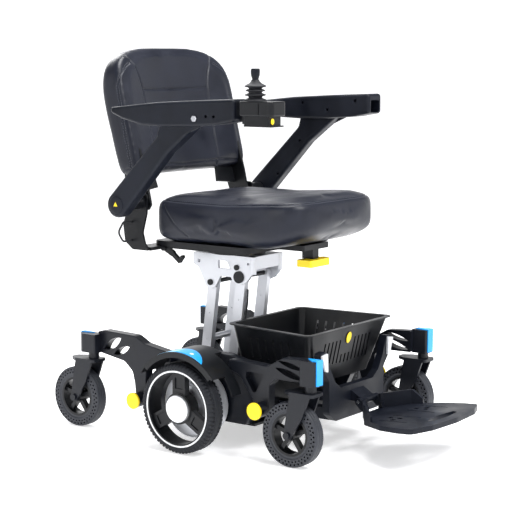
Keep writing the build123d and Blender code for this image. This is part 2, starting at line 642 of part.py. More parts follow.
def swivel_lever():
    """Looped paddle handle on its upright pin under the seat's front."""
    z0, z1 = LEVER_Z, LEVER_Z + 14
    grip = flat_plate([(-44, -200), (40, -200), (52, -188), (52, -176), (40, -164), (-20, -152),
                       (-44, -152)], z0 - 4, z1, [5, 8, 5, 5, 8, 8, 8])
    grip -= flat_plate([(8, -190), (40, -190), (42, -178), (8, -174)], z0 - 5, z1 + 1, 2)
    return grip + rod_z(5, 0, LEVER_Y, z0, PAN_TOP_Z - PAN_THICK - 4)


def fold_lever():
    """Bent release lever under the seat's right rear corner."""
    x = RELEASE_X
    y, z = RELEASE_YZ
    lever = link_bar((y, z), (y - 26, z - 13), 15, x - 5, x + 5)
    lever += link_bar((y - 26, z - 13), (y - 50, z - 32), 11, x - 5, x + 5)
    lever += link_bar((y - 50, z - 32), (y - 60, z - 20), 9, x - 5, x + 5)
    return lever - rod_x(4 + RUN, x - 10, x + 10, y, z)


RELEASE_X = -128.0
RELEASE_YZ = (214.0, 484.0)


def release_bracket():
    """Two ears and the pin that carry the release lever, under the pan."""
    x = RELEASE_X
    y, z = RELEASE_YZ
    top = PAN_TOP_Z - PAN_THICK
    ears = block(x - 12, x + 12, y - 10, y + 12, top - 3, top)
    for x0 in (x - 11, x + 7):
        ears += side_plate([(y - 10, top - 1), (y - 10, z), (y, z - 9), (y + 12, z),
                            (y + 12, top - 1)], x0, x0 + 4, [1, 4, 4, 4, 1])
    return ears + rod_x(4, x - 11, x + 11, y, z)


def back_solid(extra=0.0):
    """Bucket of the backrest before it leans: arched outline, hollow front, round rear."""
    half = BACK_HALF + extra
    z0, z1 = BACK_FOOT_Z - extra, BACK_TOP_Z + extra
    body = front_plate([(-half + 6, z0), (half - 6, z0), (half, z0 + 190), (half * 0.68, z1),
                        (-half * 0.68, z1), (-half, z0 + 190)],
                       BACK_FRONT_Y - extra, BACK_REAR_Y + extra, [12, 12, 110, 110, 110, 110])
    chord = BACK_HALF - 26
    hollow_r = (chord ** 2 + BACK_HOLLOW ** 2) / (2 * BACK_HOLLOW)
    body -= rod_z(hollow_r, 0, BACK_FRONT_Y + BACK_HOLLOW - hollow_r, z0 - 5, z1 + 5)
    rear_drop = 12
    rear_r = (BACK_HALF ** 2 + rear_drop ** 2) / (2 * rear_drop)
    return body & rod_z(rear_r, 0, BACK_REAR_Y - rear_r, z0 - 5, z1 + 5)


def back_cushion():
    """Upholstered bucket with a blind pocket for each of the frame's side plates."""
    bucket = about_x(back_solid(), BACK_PIVOT_Y, BACK_FOOT_Z, -BACK_RECLINE)
    for x0, x1 in (BACK_PLATE_X, (-BACK_PLATE_X[1], -BACK_PLATE_X[0])):
        bucket -= back_plate(GAP, x0, x1)
        bucket -= back_web(GAP, x0, x1)
    bucket -= back_bar(GAP)
    return bucket


def back_plate(extra, x0, x1):
    """Side plate of the back frame, in the cushion's pocket above the hem."""
    y, z = HINGE_YZ
    e = extra
    points = [(y - 21 - e, z - 8), (y - 6 - e, z + 58), (y + 18 - e, z + 142 + e),
              (y + 78 + e, z + 142 + e), (y + 66 + e, z + 58), (y + 38 + e, z - 14),
              (y + 8 + e, z - 24 - e), (y - 12 - e, z - 22 - e)]
    return side_plate(points, x0 - e, x1 + e, 8)


def back_web(extra, x0, x1):
    """Front-facing web of a back post, from its side plate inwards, leaning with the back."""
    sign = 1 if x0 > 0 else -1
    inner = min(abs(x0), abs(x1)) + 1 + extra
    points = [(WEB_INNER_X - extra, HINGE_YZ[1] + 30), (inner, HINGE_YZ[1] + 22),
              (inner, HINGE_YZ[1] + 142 + extra), (WEB_INNER_X + 16 - extra, HINGE_YZ[1] + 142 + extra)]
    web = front_plate(points, WEB_Y - extra, WEB_Y + 7 + extra, 3)
    web = about_x(web, BACK_PIVOT_Y, BACK_FOOT_Z, -BACK_RECLINE)
    return web if sign > 0 else other_side(web)


def back_bar(extra):
    y, z = HINGE_YZ
    reach = BACK_PLATE_X[0] + 1
    return rod_x(8 + extra, -reach, reach, y + 74 - 12, z + 118)


def back_frame():
    """Two side plates joined by a tube inside the backrest, turning on the hinge line."""
    frame = back_bar(0)
    for x0, x1 in (BACK_PLATE_X, (-BACK_PLATE_X[1], -BACK_PLATE_X[0])):
        frame += back_plate(0, x0, x1)
        frame += back_web(0, x0, x1)
    return frame - rod_x(SPIGOT_SMALL_R + RUN, -240, 240, *HINGE_YZ)


# ================================================================ armrests
def beam_outline():
    """Broad round foot at the hinge, slanting bar, and a flared head under the armrest."""
    y, z = HINGE_YZ
    run = hypot(ELBOW_YZ[0] - y, ELBOW_YZ[1] - z)
    ay, az = (ELBOW_YZ[0] - y) / run, (ELBOW_YZ[1] - z) / run
    foot = BEAM_WIDTH / 2 + 3
    half = BEAM_WIDTH / 2

    def spot(along, out):
        return (y + ay * along + az * out, z + az * along - ay * out)

    points = [spot(-foot, foot), spot(60, half + 1), spot(run - 10, half - 3),
              (ELBOW_YZ[0] + 14, BEAM_HEAD_Z), (BOLT_YZ[0] - 8, BEAM_HEAD_Z),
              (BOLT_YZ[0] - 4, PAD_UNDER_Z + 8), spot(run - 16, -half + 2),
              spot(60, -half - 1), spot(-foot, -foot)]
    return points, [foot - 1, 80, 22, 8, 8, 12, 60, 80, foot - 1]


def lug(extra):
    """Thin lug that carries the armrest up to its bolt."""
    x1 = BEAM_X[1] + extra
    foot = (ELBOW_YZ[0], ELBOW_YZ[1] + 14)
    return link_bar(foot, BOLT_YZ, 46 + 2 * extra, BEAM_X[1] - BEAM_LUG - extra, x1)


def armrest_beam():
    y, z = HINGE_YZ
    points, radii = beam_outline()
    beam = rounded_sides(side_plate(points, *BEAM_X, radii), BEAM_ROUND)
    beam -= armrest_body(GAP)
    beam += rounded_sides(lug(0), 3)
    for hole_y, hole_z in ((68, 755), (144, 658)):
        beam -= rod_x(4, BEAM_X[0] - 1, BEAM_X[0] + 6, hole_y, hole_z)
    return beam - rod_x(ARM_SHAFT_R + RUN, BEAM_X[0] - 5, BEAM_X[1] - 5.7, y, z)


def armrest_body(extra):
    """Boat shape of the armrest before its recess and holes."""
    e = extra
    front = PAD_FRONT_Y - e
    points = [(226 + e, 862), (79, 877 + e), (-48, 884 + e), (front, 889 + e), (front, 836),
              (-118, 826 - e), (-40, 820 - e), (60, PAD_UNDER_Z - e), (120, 819 - e),
              (186, 834 - e), (222 + e, 848 - e)]
    radii = [8, 60, 60, 9, 10, 30, 60, 60, 40, 30, 9]
    body = side_plate(points, PAD_X[0] - e, PAD_X[1] + e, radii)
    return rounded_sides(body, PAD_ROUND)


def armrest_pad():
    """Armrest body and pad, with the recess for the beam's lug."""
    pad = armrest_body(0) - lug(GAP)
    for y in (-86, -110):
        pad -= rod_x(ACCESSORY_HOLE_R, PAD_X[1] - 14, PAD_X[1] + 2, y, 846)
    for y, z, r in ((45, 862, 4.5), (-128, 870, 5), (-38, 844, 4.5)):
        pad -= rod_x(r, PAD_X[0] - 1, PAD_X[0] + 8, y, z)
    return pad


def left_armrest_pad():
    """The left armrest's front end has the empty socket of a joystick mount."""
    socket = block(PAD_X[0] + 10, PAD_X[1] - 12, PAD_FRONT_Y - 1, PAD_FRONT_Y + 34, 838, 872)
    return armrest_pad() - fillet(socket.edges().filter_by(Axis.Y), 5)


ACCESSORY_HOLE_R = 4.0
TONGUE = (-303.0, -289.0, -186.0, -130.0, 836.0, 846.0)


def right_armrest_pad():
    x0, x1, y0, y1, z0, z1 = TONGUE
    slot = block(x0 - GAP, x1 + GAP, y0, y1 + GAP, z0 - GAP, z1 + GAP)
    return other_side(armrest_pad()) - slot


# ================================================================ joystick
def joystick_housing():
    """Two-step pod with the cavity for the stick, and the tongue that fits the armrest."""
    x0, x1, y0, y1, z0, z1 = POD
    pod = flat_plate([(x0, y0), (x1, y0), (x1, y1), (x0, y1)], z0, z1, [14, 14, 8, 8])
    pod = fillet(pod.faces().filter_by(Axis.Z).edges(), 4)
    for a, b in ((x0 - 1, x0 + 1.5), (x1 - 1.5, x1 + 1)):
        pod -= block(a, b, POD_GROOVE_Y, POD_GROOVE_Y + 3, z0 + 3, z1 - 3)
    a0, a1, b0, b1, c0 = POD_LOWER
    pod += flat_plate([(a0, b0), (a1, b0), (a1, b1), (a0, b1)], c0 + 3, z0 + 1, 5)
    pod += flat_plate([(a0, b0 - 8), (a1, b0 - 8), (a1, b1), (a0, b1)], c0, c0 + 3, 3)
    pod += block(TONGUE[0], TONGUE[1], TONGUE[3] - 56, TONGUE[3], TONGUE[4], TONGUE[5])
    pod += block(TONGUE[0] - 10, TONGUE[1] + 6, POD_LOWER[3] - 2, POD_LOWER[3] + 14,
                 TONGUE[4] - 6, z0 + 1)
    pod -= rod_z(POD_CAVITY_R, STICK_X, STICK_Y, STICK_Z - 22, STICK_Z + 12)
    return pod - rod_z(POD_TOP_HOLE_R, STICK_X, STICK_Y, STICK_Z, z1 + 2)


def joystick_gimbal():
    """Ring that tips fore and aft on two trunnions."""
    ring = rod_z(GIMBAL_R, STICK_X, STICK_Y, STICK_Z - 4, STICK_Z + 4)
    ring -= rod_z(GIMBAL_R - 4, STICK_X, STICK_Y, STICK_Z - 6, STICK_Z + 6)
    for s in (-1, 1):
        a = STICK_X + s * (GIMBAL_R - 2)
        b = STICK_X + s * (POD_CAVITY_R - 0.5)
        ring += rod_x(2.5, min(a, b), max(a, b), STICK_Y, STICK_Z)
    return ring


def joystick_stick():
    """Ball, shaft and thumb-shaped knob."""
    stick = Pos(STICK_X, STICK_Y, STICK_Z) * Sphere(8)
    stick += rod_z(STICK_R, STICK_X, STICK_Y, STICK_Z, KNOB_TOP_Z - 14)
    knob = Pos(STICK_X, STICK_Y, KNOB_TOP_Z - 20) * Cylinder(11, 26)
    knob = fillet(knob.edges().filter_by(GeomType.CIRCLE).sort_by(Axis.Z)[-1], 9)
    knob += Pos(STICK_X, STICK_Y, KNOB_TOP_Z - 35) * Cone(13, 11, 6)
    for s in (-1, 1):
        a = STICK_Y + s * 6
        b = STICK_Y + s * (GIMBAL_R - 4 - 0.6)
        stick += rod_y(2, STICK_X, min(a, b), max(a, b), STICK_Z)
    return stick + knob


def joystick_gaiter():
    """Bellows of three pleats between the pod's top and the knob."""
    z = POD[5]
    pitch = 13.0
    points = [(GAITER_R - 4, z), (GAITER_R - 4, z + 3)]
    for i in range(3):
        points += [(18, z + 5 + i * pitch), (GAITER_R - i * 0.8, z + 9 + i * pitch)]
    points += [(12, z + 42.7), (8, z + 42)]
    inner = [(15 - i * 0.4, z + 36 - i * 8) for i in range(4)]
    points += inner + [(GAITER_R - 7, z)]
    half = make_face(Polyline(*points, close=True))
    return Pos(STICK_X, STICK_Y, 0) * revolve(Plane.XZ * half, axis=Axis.Z)


def joystick_lead():
    """Short loop of lead outside the right side plate, both ends in the plate."""
    x = -SIDE_PLATE_X[1] - 0.8
    y = HINGE_YZ[0] + 30
    z = HINGE_YZ[1] - 78
    points = [(x, y, z + 24), (x - 26, y + 4, z + 28), (x - 44, y + 8, z),
              (x - 28, y + 5, z - 26), (x, y, z - 24)]
    radii = [13, 16, 13]
    print("joystick lead: diameter 5, arc radii", radii)
    path = FilletPolyline(*points, radius=radii)
    start = Plane(origin=points[0], z_dir=Vector(*points[1]) - Vector(*points[0]))
    return sweep(start * Circle(2.5), path=path)


# ================================================================ basket
def tapered(top, foot, z_top, z_foot, grow):
    """Solid between a rectangle-like top outline and a smaller foot outline."""
    def ring(ends, z):
        (rear_half, rear_y), (front_half, front_y) = ends
        pts = [(-rear_half - grow, rear_y + grow), (-front_half - grow, front_y - grow),
               (front_half + grow, front_y - grow), (rear_half + grow, rear_y + grow)]
        return Plane.XY.offset(z) * outline(pts, 16)
    return loft([ring(foot, z_foot), ring(top, z_top)])


def basket():
    """Open-topped moulded basket with a turned-out lip and rows of slots."""
    outer = tapered(BASKET_TOP, BASKET_FOOT, BASKET_RIM_Z, BASKET_FOOT_Z, 0)
    inner = tapered(BASKET_TOP, BASKET_FOOT, BASKET_RIM_Z, BASKET_FOOT_Z, -BASKET_WALL)
    shell = outer - Pos(0, 0, BASKET_WALL) * inner
    (rear_half, rear_y), (front_half, front_y) = BASKET_TOP
    lip = BASKET_LIP
    ring = [(-rear_half - lip, rear_y + lip), (-front_half - lip, front_y - lip),
            (front_half + lip, front_y - lip), (rear_half + lip, rear_y + lip)]
    hole = [(-rear_half + 2, rear_y - 2), (-front_half + 2, front_y + 2),
            (front_half - 2, front_y + 2), (rear_half - 2, rear_y - 2)]
    z = BASKET_RIM_Z
    shell += flat_plate(ring, z - 3, z, 20) - flat_plate(hole, z - 4, z + 1, 14)
    for i in range(13):
        x = (i - 6) * 17.0
        low = 214 if abs(i - 6) > 1 else 212
        top = 276 if abs(i - 6) > 1 else 236
        shell -= block(x - 3, x + 3, front_y - 10, front_y + 45, low, top)
    for i in range(6):
        y = -88 - i * 26.0
        shell -= block(-240, 240, y - 3, y + 3, 226, 280)
    return shell


# ================================================================ footrest
def footrest_frame():
    """U-shaped frame in front of the basket, its bars to the chassis and the hinge block."""
    y0, y1 = FOOT_FRAME_Y
    right = [(0, 82), (98, 82), (127, 104), (127, 188), (150, 214), (168, 262), (140, 266),
             (121, 216), (100, 182), (74, 164), (0, 164)]
    points = right + [(-x, z) for x, z in reversed(right[1:-1])]
    radii = [0, 10, 14, 14, 10, 6, 6, 10, 12, 10, 0, 10, 12, 10, 6, 6, 10, 14, 14, 10]
    frame = front_plate(points, y0, y1, radii)
    for x in (-84, 84):
        frame += block(x - 14, x + 14, y1 - 1, TRAY_FRONT_Y, 82, 112)
    hy, hz = FOOT_HINGE_YZ
    half = FOOT_KNUCKLE_HALF
    frame += rod_x(9, -half, half, hy, hz)
    frame += block(-half, half, hy, y0 + 1, hz - 2, hz + 9)
    frame += side_plate([(y0 + 1, hz + 26), (hy + 2, hz + 8), (y0 + 1, hz + 8)], -half, half)
    return frame - rod_x(FOOT_PIN_R + RUN, -60, 60, hy, hz)


def reflectors():
    """Plain lenses on the upper ends of the footrest frame."""
    y0 = FOOT_FRAME_Y[0]
    lens = front_plate([(139, 214), (150, 217), (166, 258), (141, 262)], y0 - 5, y0, 2)
    return Compound(children=[lens, other_side(lens)])


def footplate():
    """Fan-shaped tread with rear kick walls, hand slot and hinge lugs, tipped up in front."""
    hy, hz = FOOT_HINGE_YZ
    z0 = hz - DECK_DROP
    z1 = z0 + DECK_THICK
    right = [(0, hy - 14), (44, hy - 14), (112, hy - 60), (128, hy - 89), (152, hy - 130),
             (165, hy - 185), (166, hy - 226), (104, hy - 250), (0, hy - 259)]
    points = right + [(-x, y) for x, y in reversed(right[1:-1])]
    radii = [0, 5, 14, 20, 30, 30, 16, 30, 60, 30, 16, 30, 30, 20, 14, 5]
    plate = flat_plate(points, z0, z1, radii)
    for s in (-1, 1):
        wall = [(s * 31, hy - 14), (s * 44, hy - 14), (s * 112, hy - 60), (s * 128, hy - 89),
                (s * 122, hy - 91), (s * 107, hy - 65), (s * 43, hy - 21), (s * 31, hy - 21)]
        tall = flat_plate(wall, z1 - 1, hz + 9)
        slope = side_plate([(hy - 59, hz + 20), (hy - 100, hz + 20), (hy - 100, z1 + 1)],
                           -200, 200)
        plate += tall - slope
        inner = FOOT_KNUCKLE_HALF + GAP
        lug = link_bar(FOOT_HINGE_YZ, (hy - 12, hz - 14), 18,
                       min(s * inner, s * (inner + FOOT_LUG)), max(s * inner, s * (inner + FOOT_LUG)))
        lug += block(min(s * inner, s * (inner + FOOT_LUG)), max(s * inner, s * (inner + FOOT_LUG)),
                     hy - 24, hy - 12, z0, hz - 12)
        plate += lug
    plate -= flat_plate([(-66, hy - 212), (0, hy - 202), (66, hy - 212), (58, hy - 226),
                         (0, hy - 232), (-58, hy - 226)], z0 - 1, z1 + 1, [4, 40, 4, 5, 60, 5])
    for x, y in ((-62, 106), (-84, 126), (-62, 134), (62, 106), (84, 126), (62, 134)):
        plate -= block(x - 6, x + 6, hy - y - 6, hy - y + 6, z1 - 4, z1 + 1)
    for s in (-1, 1):
        for x in (34, 100):
            plate -= block(s * x - 2, s * x + 2, hy - 176, hy - 96, z1 - 3, z1 + 1)
    plate -= rod_x(FOOT_PIN_R + RUN, -60, 60, hy, hz)
    return about_x(plate, hy, hz, -FOOT_TILT)


# ================================================================ the whole chair
def chair():
    """Node name and shape of every piece, still placed about the drive axle."""
    nodes = {
        "chassis_tray": chassis_tray(),
        "battery_boxes": battery_boxes(),
        "motor_controller": motor_controller(),
        "bumper_strips": bumper_strips(),
        "end_caps": end_caps(),
        "lower_pins": lower_pins(),
        "basket": basket(),
        "footrest_frame": footrest_frame(),
        "reflectors": reflectors(),
        "footplate": footplate(),
        "rear_legs": leg_pair(REAR_TOP_PIVOT, RUN, (0.3, 0.62)),
        "front_legs": leg_pair(FRONT_TOP_PIVOT, OPEN_PIVOT, (0.45, 0.72)),
        "lift_head": lift_head(),
        "upper_pins": upper_pins(),
        "leg_cable": leg_cable(),
        "swivel_bearing": swivel_bearing(),
        "seat_pan": seat_pan(),
        "seat_cushion": seat_cushion(),
        "seat_side_plates": seat_side_plates(),
        "swivel_lever": swivel_lever(),
        "fold_lever": fold_lever(),
        "back_frame": back_frame(),
        "back_cushion": back_cushion(),
        "armrest_pad_left": left_armrest_pad(),
        "armrest_pad_right": right_armrest_pad(),
        "joystick_housing": joystick_housing(),
        "joystick_gimbal": joystick_gimbal(),
        "joystick_stick": joystick_stick(),
        "joystick_gaiter": joystick_gaiter(),
        "joystick_lead": joystick_lead(),
    }
    paired = {
        "side_frame": side_frame(),
        "front_arm": front_arm(),
        "rear_arm": rear_arm(),
        "fender": fender(),
        "drive_motor": drive_motor(),
        "drive_tyre": drive_tyre(),
        "drive_rim": drive_rim(),
        "hub_cap": hub_cap(),
        "armrest_beam": armrest_beam(),
    }
    for place, stem_y in (("front", FRONT_STEM_Y), ("rear", REAR_STEM_Y)):
        paired["caster_fork_" + place] = caster_fork(stem_y)
        paired["caster_tyre_" + place] = caster_tyre(stem_y)
        paired["caster_rim_" + place] = caster_rim(stem_y)
    for name, shape in paired.items():
        nodes[name + "_left"] = shape
        nodes[name + "_right"] = other_side(shape)
    return nodes


def main():
    nodes = chair()
    tip_y = nodes["footplate"].bounding_box().min.Y
    tail_y = REAR_STEM_Y + CASTER_TRAIL + CASTER_R
    shift = -(tip_y + tail_y) / 2
    print("drive axle at y =", round(shift, 4))
    for name, shape in nodes.items():
        export_step(Pos(0, shift, 0) * shape, f"parts/{name}.step")


if __name__ == "__main__":
    main()
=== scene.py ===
"""Power wheelchair with a raised, swivelling seat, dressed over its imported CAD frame.

Every size is in metres and every place comes from the frame's own boxes, so the pieces
follow the CAD when it changes. Surfaces are worked out with numpy on grids.
"""
import json
import math

import bmesh
import bpy
import numpy as np
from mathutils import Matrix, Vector
from mathutils.bvhtree import BVHTree
from mathutils.kdtree import KDTree


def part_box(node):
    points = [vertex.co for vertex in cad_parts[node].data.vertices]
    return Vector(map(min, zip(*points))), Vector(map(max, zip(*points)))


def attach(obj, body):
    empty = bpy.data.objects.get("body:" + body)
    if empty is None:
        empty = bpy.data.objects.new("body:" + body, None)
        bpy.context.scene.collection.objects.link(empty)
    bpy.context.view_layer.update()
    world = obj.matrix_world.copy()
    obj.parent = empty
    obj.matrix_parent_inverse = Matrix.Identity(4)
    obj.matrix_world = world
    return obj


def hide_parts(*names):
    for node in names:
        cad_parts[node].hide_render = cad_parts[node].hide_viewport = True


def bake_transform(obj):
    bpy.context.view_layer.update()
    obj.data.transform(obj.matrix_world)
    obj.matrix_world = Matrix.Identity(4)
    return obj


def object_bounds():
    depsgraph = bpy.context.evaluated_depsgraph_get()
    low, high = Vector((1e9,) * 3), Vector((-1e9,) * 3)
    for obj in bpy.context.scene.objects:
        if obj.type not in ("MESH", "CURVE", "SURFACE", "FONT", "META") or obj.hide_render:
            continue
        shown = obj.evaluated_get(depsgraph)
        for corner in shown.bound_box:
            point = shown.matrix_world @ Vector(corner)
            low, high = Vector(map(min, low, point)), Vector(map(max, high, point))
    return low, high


bl_info = {
    "name": "Power Wheelchair Looks",
    "version": (1, 0, 0),
    "blender": (4, 5, 0),
    "location": "View3D > Sidebar > Wheelchair",
    "description": "Upholstery, tyres, trim, finishes and stage for the power wheelchair",
    "category": "Add Mesh",
}

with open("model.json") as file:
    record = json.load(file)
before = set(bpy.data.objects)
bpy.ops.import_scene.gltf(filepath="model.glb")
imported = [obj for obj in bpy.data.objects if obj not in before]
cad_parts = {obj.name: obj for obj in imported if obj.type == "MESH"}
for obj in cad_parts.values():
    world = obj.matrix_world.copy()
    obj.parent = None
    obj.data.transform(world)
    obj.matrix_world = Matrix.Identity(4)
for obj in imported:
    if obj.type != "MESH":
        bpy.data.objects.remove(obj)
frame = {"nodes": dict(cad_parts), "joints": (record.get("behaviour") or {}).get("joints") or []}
CAD_BOX = [list(corner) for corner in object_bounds()]
NODES = frame["nodes"]
SIDES = (("left", 1.0), ("right", -1.0))
MM = 0.001


# ---------------------------------------------------------------- places in the frame
def corners(node):
    """Lowest and highest corner of a CAD node as arrays."""
    low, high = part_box(node)
    return np.array(low), np.array(high)


def middle(node):
    """Centre of a CAD node's box."""
    low, high = corners(node)
    return (low + high) / 2


def axle_y():
    """Where the drive wheels' axle lies from front to back."""
    return float(middle("drive_tyre_left")[1])


def hinge_spot(name):
    """The point that a joint turns about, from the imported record."""
    return [j for j in frame["joints"] if j["name"] == name][0]["pos_m"]


# ---------------------------------------------------------------- colour
def linear(code):
    """Linear colour of an sRGB hex value."""
    srgb = np.array([int(code[i:i + 2], 16) / 255 for i in (1, 3, 5)])
    value = np.where(srgb <= 0.04045, srgb / 12.92, ((srgb + 0.055) / 1.055) ** 2.4)
    return (*[float(v) for v in value], 1.0)


# ---------------------------------------------------------------- meshes from grids
def new_object(name, vertices, faces, smooth=True):
    """A linked object at the origin from arrays of points and faces."""
    mesh = bpy.data.meshes.new(name)
    mesh.from_pydata(vertices.tolist(), [], [list(map(int, f)) for f in faces])
    mesh.update()
    if smooth:
        mesh.polygons.foreach_set("use_smooth", np.ones(len(mesh.polygons), bool))
    obj = bpy.data.objects.new(name, mesh)
    bpy.context.collection.objects.link(obj)
    return obj


def grid_faces(rows, cols, wrap_rows=False, wrap_cols=False):
    """Quads between neighbouring points of a grid, closed on itself where asked."""
    index = np.arange(rows * cols).reshape(rows, cols)
    if wrap_rows:
        index = np.vstack([index, index[:1]])
    if wrap_cols:
        index = np.hstack([index, index[:, :1]])
    quads = np.stack([index[:-1, :-1], index[1:, :-1], index[1:, 1:], index[:-1, 1:]], -1)
    return quads.reshape(-1, 4)


def skin(name, points, wrap_rows=False, wrap_cols=False, caps=False, smooth=True):
    """One surface from a grid of points; caps close its first and last row with a fan."""
    rows, cols = points.shape[:2]
    vertices = points.reshape(-1, 3)
    faces = grid_faces(rows, cols, wrap_rows, wrap_cols).tolist()
    if caps:
        for row, turn in ((0, 1), (rows - 1, -1)):
            ring = np.arange(cols) + row * cols
            vertices = np.vstack([vertices, points[row].mean(0)])
            centre = len(vertices) - 1
            fan = np.stack([np.full(cols, centre), ring, np.roll(ring, -1)], -1)[:, ::turn]
            faces += fan.tolist()
    obj = new_object(name, vertices, faces, smooth)
    point_outwards(obj)
    return obj


def point_outwards(obj):
    """Welds doubles, then turns every face to look out of the closed shape."""
    edit = bmesh.new()
    edit.from_mesh(obj.data)
    bmesh.ops.remove_doubles(edit, verts=edit.verts, dist=1e-6)
    bmesh.ops.recalc_face_normals(edit, faces=edit.faces)
    edit.to_mesh(obj.data)
    edit.free()


def shade_by_angle(obj, degrees):
    """Smooth shading with sharp edges where faces meet at more than the angle."""
    edit = bmesh.new()
    edit.from_mesh(obj.data)
    limit = math.radians(degrees)
    for edge in edit.edges:
        edge.smooth = len(edge.link_faces) == 2 and edge.calc_face_angle(0) < limit
    edit.to_mesh(obj.data)
    edit.free()


def merged(name, pieces):
    """One mesh from several (vertices, faces) parts; faces may have any number of sides."""
    vertices, faces, start = [], [], 0
    for part, part_faces in pieces:
        vertices.append(part)
        faces += [[int(i) + start for i in face] for face in part_faces]
        start += len(part)
    return new_object(name, np.vstack(vertices), faces)


def turned(profile, centre, steps, sign=1.0):
    """Points of a profile of (distance along X, radius) turned about the line through
    centre along X. sign mirrors the profile for the other side."""
    angle = np.linspace(0, 2 * np.pi, steps, endpoint=False)
    along, radius = profile[:, 0], profile[:, 1]
    x = centre[0] + sign * np.repeat(along[:, None], steps, 1)
    y = centre[1] + radius[:, None] * np.cos(angle)
    z = centre[2] + radius[:, None] * np.sin(angle)
    return np.stack([x, y, z], -1)


def tube(path, radius, sides):
    """Rings of points round a path: circles square to the path's own direction."""
    step = np.gradient(path, axis=0)
    along = step / np.linalg.norm(step, axis=1, keepdims=True)
    up = np.where(np.abs(along[:, 2:]) > 0.9, [[1.0, 0, 0]], [[0, 0, 1.0]])
    a = np.cross(along, up)
    a /= np.linalg.norm(a, axis=1, keepdims=True)
    b = np.cross(along, a)
    turn = np.linspace(0, 2 * np.pi, sides, endpoint=False)
    ring = a[:, None] * np.cos(turn)[:, None] + b[:, None] * np.sin(turn)[:, None]
    radius = np.broadcast_to(np.asarray(radius, float), (len(path),))
    return path[:, None] + ring * radius[:, None, None]


# ---------------------------------------------------------------- materials
def node(tree, kind, links=None, **settings):
    """Adds a shader node, sets its sockets and properties, and links its inputs."""
    made = tree.nodes.new(kind)
    for key, value in settings.items():
        if key in made.inputs:
            made.inputs[key].default_value = value
        else:
            setattr(made, key, value)
    for key, source in (links or {}).items():
        tree.links.new(source, made.inputs[key])
    return made


def finish_of(name, colour, **settings):
    """A principled material with its colour and the shader's own settings."""
    material = bpy.data.materials.new(name)
    material.use_nodes = True
    tree = material.node_tree
    tree.nodes.clear()
    shader = node(tree, "ShaderNodeBsdfPrincipled")
    shader.inputs["Base Color"].default_value = colour
    for key, value in settings.items():
        shader.inputs[key.replace("_", " ")].default_value = value
    out = node(tree, "ShaderNodeOutputMaterial", {"Surface": shader.outputs[0]})
    out.location = (400, 0)
    return material, tree, shader


def grained(name, colour, grain_mm, depth_mm, tint, rough, spread, cells=False,
            **settings):
    """Colour that drifts a little, fine relief of one grain size in millimetres, and
    roughness that follows the drift. Grains are drawn coarser than real ones, which
    are too fine to show."""
    material, tree, shader = finish_of(name, colour, Roughness=rough, **settings)
    place = node(tree, "ShaderNodeTexCoord").outputs["Object"]
    drift = node(tree, "ShaderNodeTexNoise", {"Vector": place}, Scale=14.0, Detail=3.0)
    if cells:
        relief = node(tree, "ShaderNodeTexVoronoi", {"Vector": place},
                      Scale=1000.0 / grain_mm, feature="SMOOTH_F1")
        height = relief.outputs["Distance"]
    else:
        relief = node(tree, "ShaderNodeTexNoise", {"Vector": place},
                      Scale=500.0 / grain_mm, Detail=3.0, Roughness=0.6)
        height = relief.outputs[0]
    bump = node(tree, "ShaderNodeBump", {"Height": height}, Strength=0.6,
                Distance=depth_mm * MM)
    tree.links.new(bump.outputs[0], shader.inputs["Normal"])
    base = np.array(colour[:3])
    dark = (*(base * (1 - tint)), 1.0)
    light = (*np.minimum(base * (1 + tint) + 0.002, 1), 1.0)
    ramp = node(tree, "ShaderNodeValToRGB", {"Fac": drift.outputs[0]})
    ramp.color_ramp.elements[0].position = 0.3
    ramp.color_ramp.elements[1].position = 0.7
    ramp.color_ramp.elements[0].color = dark
    ramp.color_ramp.elements[1].color = light
    tree.links.new(ramp.outputs[0], shader.inputs["Base Color"])
    span = node(tree, "ShaderNodeMapRange", {"Value": drift.outputs[0]},
                **{"From Min": 0.3, "From Max": 0.7, "To Min": rough - spread,
                   "To Max": rough + spread})
    tree.links.new(span.outputs[0], shader.inputs["Roughness"])
    return material


